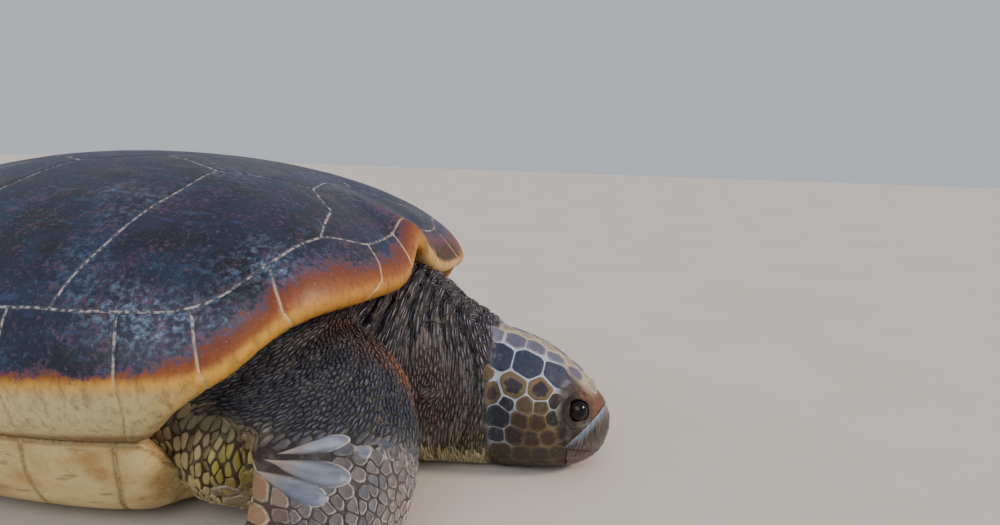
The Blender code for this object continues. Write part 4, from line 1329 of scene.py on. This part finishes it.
SHIELD_COLOURS = {  # middle, border, width of the pale seam, share of the shield where the border begins
    "navy": ("#1B2A48", "#223354", 0.0012, 0.93), "ringed": ("#1C1526", "#6C5A3A", 0.0012, 0.62),
    "dim": ("#33252A", "#5A4C34", 0.0010, 0.54), "ochre": ("#53452C", "#6B5C3C", 0.0010, 0.80),
    "slate": ("#1E2533", "#2C3647", 0.0012, 0.88), "purple": ("#2C1E24", "#4E3A34", 0.0010, 0.74),
    # the postocular shields just behind the eye are near black: painted shade
    "cheek": ("#3A2C1C", "#5C472B", 0.0007, 0.78), "postocular_shade": ("#1C1817", "#2E2723", 0.0006, 0.80),
    # the ridge shields along the top of the head are pale cream: painted warm light from above
    "crown": ("#62657E", "#85849A", 0.0007, 0.86), "ridge": ("#9A9184", "#BDAF92", 0.0006, 0.74),
    # the chin shields are darkened: painted shade under the jaw
    "shaded_chin": ("#3B3122", "#54462D", 0.0006, 0.82),
}


def outward(x, angle, side):
    """A ray out of the head's axis: its start and direction."""
    a = math.radians(angle)
    start = head_turned((x, 0, 0.080))
    end = head_turned((x, side * math.sin(a), 0.080 + math.cos(a)))
    return start, (end - start).normalized()


def head_shields(tree, unwrap):
    rows = []
    for x, angle, spread, kind in HEAD_SHIELDS:
        for side in (1, -1) if angle else (1,):
            spot, normal, _, _ = tree.ray_cast(*outward(x, angle, side))
            rows.append((*spot, *normal, spread, list(SHIELD_COLOURS).index(kind)))
    for side in (1, -1):  # the lids keep the shields off the eyes, and the neck's folds off the nape
        spot, normal, _, _ = tree.find_nearest(head_turned((EYE[0], side * (EYE[1] + 0.012), EYE[2])))
        rows.append((*spot, *normal, 0.0165, -1))
        for angle in range(10, 170, 20):
            spot, normal, _, _ = tree.ray_cast(*outward(HEAD_BACK - 0.018, angle, side))
            rows.append((*spot, *normal, 0.0100, -1))
    rows = np.array(rows)
    roots, facing = rows[:, :3], unit(rows[:, 3:6])
    ahead = np.array(head_turned((POLE_X + 1, 0, 0)) - head_turned((POLE_X, 0, 0)))
    grain = unit(ahead - facing * (facing @ ahead)[:, None])
    sizes = np.full((len(rows), 2), SHIELD_SPAN)
    swell = rows[:, 6:7] / SHIELD_SPAN
    reach, angles = reaches(roots, facing, grain, sizes, 72, 18, 1.0, swell=swell[:, 0])
    reach = np.minimum(reach, swell * 1.45)
    for _ in range(4):  # rounds the corners
        reach = (np.roll(reach, 1, axis=1) + 2 * reach + np.roll(reach, -1, axis=1)) / 4
    kinds = rows[:, 7].astype(int)
    real = kinds >= 0
    palette = list(SHIELD_COLOURS.values())
    middle = np.array([linear(palette[k][0]) for k in kinds[real]])
    border = np.array([linear(palette[k][1]) for k in kinds[real]])
    gap, start = np.array([palette[k][2:] for k in kinds[real]]).T
    profile = ((0, 1.0), (0.35, 1.0), (0.62, 1.0), (0.82, 0.97), (0.92, 0.88), (0.975, 0.60), (1.0, -0.45))
    lay = (roots[real], facing[real], grain[real], sizes[real])
    rise = mix(0.0004, 0.0006, np.clip(rows[real, 6] / 0.016, 0, 1))
    colours = (middle, border)
    return coat("head_shields", tree, unwrap, lay, reach[real], angles, profile, gap, rise, colours, start)


# ---------------------------------------------------------------- eyes and lids

EYE_LOOKS = (0.46, 0.88, 0.10)  # which way the eye faces: forward, outward, up
LID_REACH = 0.0205  # how far the loose skin goes behind the eye; it goes further in front
EYE_OPENING = (0.0137, 0.0135, 0.0154)  # half its width, its height above the middle and below it
EYE_SET_BACK = 0.0016  # how far the opening is behind the eyeball's middle


def eye_frame(side):
    """The eye's middle, and its forward, upward and outward directions."""
    origin = np.array(head_turned((0, 0, 0)))
    middle = np.array(head_turned((EYE[0], side * EYE[1], EYE[2])))
    out = unit(np.array(head_turned((EYE_LOOKS[0], side * EYE_LOOKS[1], EYE_LOOKS[2]))) - origin)
    forward = unit(np.cross(out, (0, 0, 1)) * side * -1)
    up = np.cross(out, forward)
    return middle, forward * math.copysign(1, forward[0]), up * math.copysign(1, up[2]), out


def eyeball(word, side, finish):
    middle, forward, up, out = eye_frame(side)
    tilt = np.linspace(0.5, 179.5, 56)[:, None]
    spin = np.radians(np.arange(0, 360, 5.0))[None]
    radius = EYE_RADIUS - 0.0003 + 0.0009 * np.exp(-((tilt / 30) ** 2))
    a = np.radians(tilt)
    plane = forward * np.cos(spin)[..., None] + up * np.sin(spin)[..., None]
    points = middle + (plane * np.sin(a)[..., None] + out * np.cos(a)[..., None]) * radius[..., None]
    count = points.shape[1]
    last = count * (len(tilt) - 1)
    faces = grid_faces(len(tilt), count, True) + [tuple(range(count)), tuple(range(last, last + count))]
    view = np.repeat(tilt.ravel(), count)
    made = mesh_object(f"eyeball_{word}", points.reshape(-1, 3), faces, {"view": view})
    wear(faced_out(made), finish)
    placed(made, "eye", f"eye_{word}")


def eyelids(word, side, finish):
    """A ring of loose, wrinkled skin between the eyeball and the face."""
    middle, forward, up, out = eye_frame(side)
    spin = np.radians(np.arange(0, 360, 3.0))
    plane = forward * np.cos(spin)[:, None] + up * np.sin(spin)[:, None]
    tall = np.where(np.sin(spin) > 0, EYE_OPENING[1], EYE_OPENING[2])
    oval = (np.abs(np.cos(spin)) / EYE_OPENING[0]) ** 2.2 + (np.abs(np.sin(spin)) / tall) ** 2.2
    opening = oval ** (-1 / 2.2) - EYE_SET_BACK * np.cos(spin)

    def face_height(reach):
        spots = middle + plane * np.maximum(reach, 0.0172)[:, None] + out * 0.05
        return np.array([0.05 - (SKIN_TREE.ray_cast(spot, -out)[3] or 0.05) for spot in spots])

    def ball_height(reach, gap):
        radius = EYE_RADIUS + gap
        return np.sqrt(radius ** 2 - np.minimum(reach, 0.90 * radius) ** 2)

    front, top = np.maximum(np.cos(spin), 0), np.maximum(np.sin(spin), 0)
    edge = LID_REACH + 0.0045 * front * (0.6 + top)
    loose = np.clip(front + top, 0, 1)
    rows, shades = [], []
    for reach, height in ((opening * 0.93, ball_height(opening * 0.93, -0.0022)),
                          (opening * 0.985, ball_height(opening, 0.0001))):
        rows.append(middle + plane * reach[:, None] + out * height[:, None])
        shades.append(np.zeros((len(spin), 2)))
    for s in np.linspace(0, 1, 34):
        reach = mix(opening, edge + 0.0006 * np.sin(spin * 5 + side), s)
        height = mix(ball_height(reach, 0.0011), face_height(reach) + 0.0007, ease(s, 0.05, 0.95))
        height += (0.0006 + 0.0016 * top + 0.0007 * front) * math.sin(math.pi * s) ** 0.8
        spots = middle + plane * reach[:, None]
        wave = s * 4.4 + 0.55 * ripple(spots, 0.016, 71) + 0.25 * np.sin(spin * 3 + 1.3)
        broken = ease(ripple(spots, 0.009, 72), -0.7, 0.5)
        ridge = mix(0.55, np.abs(np.sin(math.pi * wave)) ** 0.7, broken)
        height += (ridge - 0.6) * mix(0.0004, 0.0012, loose) * ease(s, 0.02, 0.2) * (1 - ease(s, 0.85, 1))
        height += 0.00022 * np.sin(spin * 41 + 9 * s) * ease(s, 0.1, 0.4)
        height -= 0.0030 * ease(s, 0.93, 1.0)
        rows.append(middle + plane * reach[:, None] + out * height[:, None])
        shades.append(np.stack([np.full_like(spin, s), ridge], axis=1))
    rows.append(middle + plane * (edge - 0.004)[:, None] + out * -0.004)
    facts = np.concatenate([*shades, np.ones((len(spin), 2))])
    points = np.concatenate(rows)
    count, last = len(spin), (len(rows) - 1) * len(spin)
    faces = grid_faces(len(rows), count, True)
    faces += [(last + j, last + (j + 1) % count, (j + 1) % count, j) for j in range(count)]
    around = np.tile(spin, len(rows))
    front, top = np.maximum(np.cos(around), 0), np.sin(around)
    # painted light: the lids are warm brown on their front and top, where the key light falls, and near black
    # behind and below; their wrinkle crests are painted paler as highlights, and a near-black band round the
    # opening is painted shade
    warm = np.clip(ease(np.cos(around) + 0.55 * top, 0.1, 0.9), 0, 1)
    colour = blended(points, [
        (1, "#1E1A19"), (warm * 0.95, "#3F2A20"), (warm * ease(facts[:, 1], 0.40, 0.95) * 0.75, "#8C6249"),
        ((1 - warm) * facts[:, 1] ** 3 * 0.4, "#5A5049"), (ease(-top, 0.6, 0.95) * front * 0.5, "#A9B4BE"),
        (1 - ease(facts[:, 0], 0.02, 0.16 + 0.30 * (1 - warm)), "#0E0B0B"),
    ])
    made = mesh_object(f"eyelids_{word}", points, faces, {"middle": colour})
    wear(faced_out(made), finish)
    placed(made, "skin")


def eye_wet():
    """The eye: almost black, a dark brown iris round a wide pupil, wet and glossy."""
    made, tree, shader = new_material("eye_wet", 0.15, specular=0.12, coat=0.35)
    shader.inputs["Coat Roughness"].default_value = 0.02
    view = attribute(tree, "view")
    iris = blend(tree, ramp(tree, noise(tree, 0.0016, 4), 0.35, 0.65), "#0B0604", "#1B0F08")
    colour = blend(tree, ramp(tree, view, 17, 20), "#020203", iris)
    colour = blend(tree, ramp(tree, view, 36, 42), colour, "#120B08")
    tree.links.new(colour, shader.inputs["Base Color"])
    return made


# ---------------------------------------------------------------- beak and claws

NOSTRIL = (0.6885, 0.0072, 0.0755)


def beak():
    """Two horn sheaths over the jaws, streaked from the lip upward, with two small nostrils at the top."""
    finish = beak_horn()
    for name in ("upper_beak", "lower_beak"):
        made = remeshed(f"{name}_sheath", [name], 0.0005, 0.0010)
        smoothed(made.data, 3)
        points, normals = points_of(made.data), normals_of(made.data)
        local = unturned(points)
        streak = ripple(local * (1, 1, 0.10), 0.0042, 61)
        below = ((local[:, 0] - 0.644) * 0.0516 - (local[:, 2] - 0.0414) * 0.056) / 0.0762
        hole = np.hypot(local[:, 0] - NOSTRIL[0], np.abs(local[:, 1]) - NOSTRIL[1])
        hole = np.hypot(hole, local[:, 2] - NOSTRIL[2])
        lift = 0.00012 * streak - 0.0022 * np.exp(-((hole / 0.0019) ** 2))
        lift += 0.0004 * np.exp(-(((below - 0.0025) / 0.0012) ** 2))
        set_points(made.data, points + normals * lift[:, None])
        upper = 1.0 if name == "upper_beak" else 0.0
        # painted highlight: a pale blue band along the upper beak's top edge, brighter towards the front
        ahead = ease(local[:, 0], 0.644, 0.668)
        band = 1 - ease(below, 0.0005, 0.0030 + 0.0080 * ahead)
        add_attribute(made.data, "edge", upper * band * (0.3 + 0.7 * ahead))
        add_attribute(made.data, "streak", ease(streak, -0.1, 0.9))
        add_attribute(made.data, "nose", upper * np.exp(-((hole / 0.0048) ** 2)))
        # painted shade: the nostril's dent is near black inside
        add_attribute(made.data, "pit", upper * np.exp(-((hole / 0.0020) ** 2)))
        add_attribute(made.data, "low", 1 - ease(local[:, 2], 0.020, 0.055))
        # painted shade: near black where the upper and lower sheaths meet, along the mouth
        other = tree_of(copied(["lower_beak" if upper else "upper_beak"], 0.0))
        apart = np.array([other.find_nearest(point)[3] for point in points])
        add_attribute(made.data, "mouth_line_shade", np.exp(-((apart / 0.0014) ** 2)))
        wear(made, finish)
        placed(made, "beak", name)


def beak_horn():
    """Beak horn: grey-brown with pale upright streaks, pinkish low down, with a painted pale blue highlight
    along its upper edge, brighter towards the front.
    """
    made, tree, shader = new_material("beak_horn_polished", 0.40, coat=0.15)
    grain = noise(tree, 0.0045, 4, 0.6, stretch=(1, 1, 0.25))
    colour = blend(tree, ramp(tree, grain, 0.35, 0.7), "#26211F", "#4A403C")
    colour = blend(tree, maths(tree, "MULTIPLY", attribute(tree, "low"), 0.50), colour, "#5C4440")
    colour = blend(tree, maths(tree, "MULTIPLY", attribute(tree, "streak"), 0.26), colour, "#8E8486")
    # painted highlight along the upper beak's top edge
    band = maths(tree, "MULTIPLY", attribute(tree, "edge"), ramp(tree, grain, 0.3, 0.6, 0.45, 0.90))
    colour = blend(tree, band, colour, "#7C90A8")
    colour = blend(tree, maths(tree, "MULTIPLY", attribute(tree, "nose"), 0.85), colour, "#A8683C")
    # painted shade in the nostrils
    colour = blend(tree, attribute(tree, "pit"), colour, "#1A0E0A")
    # painted shade along the mouth's line
    colour = blend(tree, attribute(tree, "mouth_line_shade"), colour, "#120C0B")
    tree.links.new(colour, shader.inputs["Base Color"])
    bump(tree, shader, grain, 0.0004)
    return made


def claws():
    made, tree, shader = new_material("claw_horn", 0.42, coat=0.1)
    grain = noise(tree, 0.003, 3, stretch=(0.3, 1, 1))
    colour = blend(tree, ramp(tree, grain, 0.35, 0.7), "#2B2622", "#7A6750")
    tree.links.new(colour, shader.inputs["Base Color"])
    bump(tree, shader, grain, 0.0003)
    for name in ("front_claw_left", "front_claw_right", "hind_claw_left", "hind_claw_right"):
        claw = bpy.data.objects.new(f"{name}_horn", copied([name], 0.0))
        bpy.context.scene.collection.objects.link(claw)
        round_off = claw.modifiers.new("round_off", "SUBSURF")
        round_off.levels = round_off.render_levels = 2
        evaluated(claw)
        claw.data.shade_smooth()
        wear(claw, made)
        placed(claw, "claw", name)


# ---------------------------------------------------------------- leaf scales

# Long smooth scales that lap over each other at the right elbow: root, tip, half the width, height
LEAVES = (((0.4970, -0.2545, 0.1205), (0.4340, -0.2757, 0.1060), 0.0080, 0.0042),
          ((0.5085, -0.2760, 0.0935), (0.4215, -0.2772, 0.1000), 0.0122, 0.0052),
          ((0.4935, -0.2900, 0.0770), (0.4095, -0.2740, 0.0885), 0.0115, 0.0048),
          ((0.5175, -0.2560, 0.1075), (0.4975, -0.2590, 0.1175), 0.0075, 0.0034))


def leaf_ends():
    """Root and tip of each leaf scale on both arms."""
    ends = [(np.array(root), np.array(tip), half, high) for root, tip, half, high in LEAVES]
    return ends + [(on_left_arm(root), on_left_arm(tip), half, high) for root, tip, half, high in ends]


def arm_segment(side, k):
    """The start and end of one segment of an arm's line, and its directions: along, forward and outward."""
    start, end = (np.array(ARMS[side][i][0]) * (1, side, 1) for i in (k, k + 1))
    way = unit(end - start)
    lead = unit(np.cross(way, (0, 0, side)))
    return start, end, np.stack([way, lead, np.cross(way, lead) * -side])


def on_left_arm(point):
    """The place on the left arm's skin that matches one on the right arm's."""
    nearest = None
    for k in range(len(ARMS[-1]) - 1):
        start, end, frame_k = arm_segment(-1, k)
        u = float(np.clip((point - start) @ (end - start) / ((end - start) @ (end - start)), 0, 1))
        off = point - mix(start, end, u)
        if nearest is None or np.linalg.norm(off) < nearest[0]:
            nearest = (np.linalg.norm(off), k, u, frame_k @ off)
    _, k, u, parts = nearest
    start, end, frame_k = arm_segment(1, k)
    return np.array(SKIN_TREE.find_nearest(mix(start, end, u) + parts @ frame_k)[0])


def leaf_share(points):
    """1 where a leaf scale covers the skin, 0 well away from it."""
    share = np.zeros(len(points))
    for root, tip, half, _ in LEAF_ENDS:
        run = tip - root
        u = np.clip((points - root) @ run / (run @ run), 0, 1)
        off = np.linalg.norm(points - root - run * u[:, None], axis=1)
        share = np.maximum(share, off < half * (1.0 - 0.55 * u) * 1.12 + 0.0008)
    return share


def leaf_scales(unwrap, finish):
    points, faces, facts, spots = [], [], [], []
    start = 0
    u, w = np.linspace(0, 1, 40) ** 1.3, np.sin(np.linspace(-math.pi / 2, math.pi / 2, 17))
    for root, tip, half, high in LEAF_ENDS:
        run = tip - root
        out = np.array(SKIN_TREE.find_nearest(mix(root, tip, 0.4))[1])
        aside = unit(np.cross(out, run))
        round_end = np.sqrt(np.clip(1 - (1 - np.minimum(u / 0.30, 1)) ** 2, 0, 1))
        wide = np.maximum(half * round_end * (1 - ease(u, 0.25, 1.05)) ** 0.8, 0.0004)
        grid = root + run * u[:, None, None] + aside * (wide[:, None, None] * w[None, :, None])
        grid += aside * (0.10 * half * np.sin(math.pi * u))[:, None, None]
        flat, normal = snapped(SKIN_TREE, grid.reshape(-1, 3))
        normal = unit(normal + out)
        arch_w = np.maximum(1 - np.abs(w) ** 2.6, 0) ** 0.62
        arch_u = np.clip(u / 0.10, 0, 1) ** 0.5 * (1 - 0.45 * u) * np.clip((1 - u) / 0.06, 0, 1) ** 0.5
        height = high * arch_u[:, None] * arch_w[None]
        # the round end has a raised lip along its outline, which dies out toward the tip
        inset = np.minimum((1 - np.abs(w))[None] * wide[:, None], (u * np.linalg.norm(run))[:, None])
        rim = np.exp(-(((inset - 0.0010) / 0.0007) ** 2)) * (1 - ease(u, 0.12, 0.42))[:, None]
        height = height + 0.0007 * rim - 0.0012
        top = flat + normal * height.reshape(-1, 1)
        border = [(i, 0) for i in range(40)] + [(39, j) for j in range(1, 17)]
        border += [(i, 16) for i in range(38, -1, -1)] + [(0, j) for j in range(15, 0, -1)]
        loop = [start + i * 17 + j for i, j in border]
        foot = start + len(top)
        points += [top, (mix(root, tip, 0.45) - out * 0.004)[None]]
        faces += [tuple(start + v for v in face) for face in grid_faces(40, 17, False)]
        faces += [(loop[k], loop[(k + 1) % len(loop)], foot) for k in range(len(loop))]
        shares = np.stack(np.broadcast_arrays(u[:, None], np.abs(w)[None], rim), axis=-1).reshape(-1, 3)
        facts += [shares, np.array([[0.5, 1.0, 0.0]])]
        local = np.stack(np.broadcast_arrays(u[:, None], w[None] / 2), axis=-1).reshape(-1, 2)
        local = np.concatenate([local, [(0.5, 0)]]) * PATCH
        spots.append(unwrap(mix(root, tip, 0.4)[None]) + local)
        start = foot + 1
    points, facts, spots = (np.concatenate(rows) for rows in (points, facts, spots))
    look = {"share": facts[:, 0], "side": facts[:, 1], "lip": facts[:, 2]}
    made = mesh_object("scales_leaf", points, faces, look)
    faced_out(made)
    give_bake_map(made, spots)
    wear(made, finish)
    placed(made, "skin")


def leaf_horn():
    """Leaf scales: smooth blue-grey horn, shiny on the swell and darker towards the sides as painted shade,
    cream round the root and tan at the tip.
    """
    made, tree, shader = new_material("leaf_scale_horn_shiny", 0.30, coat=0.25)
    streak = noise(tree, 0.014, 3, 0.5, stretch=(0.22, 1, 1))
    colour = blend(tree, ramp(tree, streak, 0.30, 0.70), "#5A6478", "#8B93A3")
    # painted shade: each leaf darkens towards its sides, where its swell turns away
    colour = blend(tree, ramp(tree, attribute(tree, "side"), 0.45, 1.0, 0, 0.8), colour, "#3A414F")
    colour = blend(tree, ramp(tree, attribute(tree, "share"), 0.40, 0.95, 0, 0.85), colour, "#B09B88")
    colour = blend(tree, maths(tree, "MULTIPLY", attribute(tree, "lip"), 0.9), colour, "#D6CFC8")
    tree.links.new(colour, shader.inputs["Base Color"])
    bump(tree, shader, streak, 0.00035)
    return made


# ---------------------------------------------------------------- hides


def skin_leather():
    """Bare skin between the scales: dull, folded leather, paler along its creases' crests where its colour
    attribute carries painted highlights.
    """
    made, tree, shader = new_material("turtle_skin_leathery", 0.62, specular=0.4)
    fine = noise(tree, 0.0022, 4, 0.65)
    worn = noise(tree, 0.014, 4, 0.6)
    colour = blend(tree, ramp(tree, worn, 0.45, 0.75, 0, 0.45), attribute(tree, "middle", "Color"), "#8A8378")
    colour = blend(tree, ramp(tree, fine, 0.30, 0.5, 0.5, 0), colour, "#0D0D11")
    tree.links.new(colour, shader.inputs["Base Color"])
    bump(tree, shader, fine, 0.0004)
    return made


def scale_horn(name, roughness, relief):
    """Scale horn: dry and slightly polished, with a border of another colour."""
    made, tree, shader = new_material(name, roughness, coat=0.06)
    fine = noise(tree, 0.0016, 4, 0.65)
    patch = noise(tree, 0.006, 3)
    edge = maths(tree, "ADD", attribute(tree, "rim"), ramp(tree, patch, 0.3, 0.7, -0.10, 0.10))
    colour = blend(tree, ramp(tree, edge, 0.88, 1.14), attribute(tree, "middle", "Color"),
                   attribute(tree, "border", "Color"))
    colour = blend(tree, ramp(tree, attribute(tree, "tone"), 0.0, 1.0, 0, 0.30), colour, "#15161C")
    colour = blend(tree, ramp(tree, fine, 0.56, 0.72, 0, 0.20), colour, "#A9A7A6")
    colour = blend(tree, ramp(tree, patch, 0.55, 0.80, 0, 0.16), colour, "#A9A7A6")
    colour = blend(tree, ramp(tree, fine, 0.30, 0.45, 0.35, 0), colour, "#0B0B10")
    tree.links.new(colour, shader.inputs["Base Color"])
    tree.links.new(ramp(tree, fine, 0.3, 0.7, roughness - 0.08, roughness + 0.12), shader.inputs["Roughness"])
    bump(tree, shader, maths(tree, "ADD", fine, patch), relief)
    return made


def scale_groups(points):
    """Which scales each coat object holds, and their corners, neighbours, profile, gap, rise, and where the
    colour of the border begins."""
    place = layout(points)
    turn, share = place["turn"], place["share"]
    seen = ((share > 0.70) & ~((bridge(turn) > 0.7) & (share < 0.93))) | (points[:, 0] > 0.42)
    rest = seen * (place["local"][:, 0] < HEAD_BACK - 0.007) * (1 - leaf_share(points))
    ridged = ((0, 1.0), (0.55, 0.86), (0.90, 0.40), (1.0, -0.35))
    domed = ((0, 1.0), (0.62, 1.0), (0.86, 0.85), (1.0, -0.35))
    flatter = ((0, 1.0), (0.86, 0.85), (1.0, -0.35))
    rimmed = ((0, 0.62), (0.60, 0.66), (0.80, 1.0), (1.0, -0.35))
    left = points[:, 1] > 0
    fore, hind = rest * (place["forearm"] > 0.5), rest * (place["hind"] > 0.5)
    return {
        "neck": (rest * (place["neck"] > 0.5), 8, 80, ridged, 0.0003, 0.0013, 0.34),
        "shoulder": (rest * (place["shoulder"] > 0.5), 8, 36, ridged, 0.0004, 0.0011, 0.40),
        "armpit": (rest * (place["armpit"] > 0.5), 12, 24, domed, 0.0006, 0.0011, 0.84),
        "flipper_left": (fore * left, 12, 22, rimmed, 0.0009, 0.0016, 0.80),
        "flipper_right": (fore * ~left, 12, 22, rimmed, 0.0009, 0.0016, 0.80),
        "hind_left": (hind * left, 8, 24, flatter, 0.0010, 0.0011, 0.74),
        "hind_right": (hind * ~left, 8, 24, flatter, 0.0010, 0.0011, 0.74),
    }


def dress_skin():
    points, normals = points_of(SKIN.data), normals_of(SKIN.data)
    middle, _, groove = markings(points, normals)
    add_attribute(SKIN.data, "middle", groove)
    leather = skin_leather()
    wear(SKIN, leather)
    placed(SKIN, "skin", *FLESH)
    shields = head_shields(SKIN_TREE, UNWRAP)
    wear(shields, scale_horn("head_shield_horn", 0.60, 0.00012))
    placed(shields, "skin")
    wet = eye_wet()
    for word, side in (("left", 1), ("right", -1)):
        eyeball(word, side, wet)
        eyelids(word, side, leather)
    leaf_scales(UNWRAP, leaf_horn())
    horn = scale_horn("skin_scale_horn", 0.46, 0.00015)
    for name, (wanted, around, near, profile, gap, rise, start) in scale_groups(points).items():
        lay = scattered(SKIN.data, wanted)
        reach, angles = reaches(*lay, around, near, 0.90)
        middle, rim, _ = markings(lay[0], lay[1])
        count = len(lay[0])
        made = coat(f"scales_{name}", SKIN_TREE, UNWRAP, lay, reach, angles, profile, np.full(count, gap),
                    rise * CHANCE.uniform(0.8, 1.2, count), (middle, rim), np.full(count, start))
        wear(made, horn)
        placed(made, "skin")


# ---------------------------------------------------------------- stage and camera


def stage():
    bpy.ops.mesh.primitive_plane_add(size=60)
    floor = bpy.context.object
    floor.name = "studio_floor"
    made, tree, shader = new_material("studio_floor_matt", 0.9, specular=0.2)
    tree.links.new(blend(tree, ramp(tree, noise(tree, 0.4), 0.3, 0.7), "#CFCBC5", "#D4D1CC"),
                   shader.inputs["Base Color"])
    wear(floor, made)
    world = bpy.data.worlds.new("studio")
    bpy.context.scene.world = world
    world.use_nodes = True
    background = world.node_tree.nodes["Background"]
    background.inputs["Color"].default_value = rgba("#D3D8E0")
    background.inputs["Strength"].default_value = 0.80
    lights = (("key", (1.0, 0.10, 0.62), 14, 2.3, "#FFE2C4"),
              ("fill", (0.15, -1.0, 0.75), 40, 0.95, "#FAF6F2"))
    for name, way, spread, strength, tone in lights:
        lamp = bpy.data.lights.new(name, "SUN")
        lamp.angle, lamp.energy, lamp.color = math.radians(spread), strength, linear(tone)
        made = bpy.data.objects.new(name, lamp)
        made.matrix_world = Vector(way).to_track_quat("Z", "Y").to_matrix().to_4x4()
        bpy.context.scene.collection.objects.link(made)


def camera():
    """Close by the right shoulder, a little above the shell's rim, turned towards the head."""
    heading, pitch, roll = math.radians(15), math.radians(7.62), math.radians(1.86)
    right = Vector((math.cos(heading), math.sin(heading), 0))
    level = math.cos(pitch)
    ahead = Vector((-math.sin(heading) * level, math.cos(heading) * level, -math.sin(pitch)))
    up = right.cross(ahead)
    right, up = right * math.cos(roll) + up * math.sin(roll), up * math.cos(roll) - right * math.sin(roll)
    lens = bpy.data.cameras.new("camera")
    lens.lens, lens.sensor_width = 27.04, 36.0
    made = bpy.data.objects.new("camera", lens)
    made.matrix_world = (Matrix.Translation((0.7870, -0.8424, 0.37))
                         @ Matrix((right, up, -ahead)).transposed().to_4x4())
    bpy.context.scene.collection.objects.link(made)
    bpy.context.scene.camera = made


shell()
SKIN = skin_form()
SKIN_TREE = tree_of(SKIN.data)
UNWRAP = Unwrap(SKIN)
LEAF_ENDS = leaf_ends()
dress_skin()
beak()
claws()
stage()
camera()
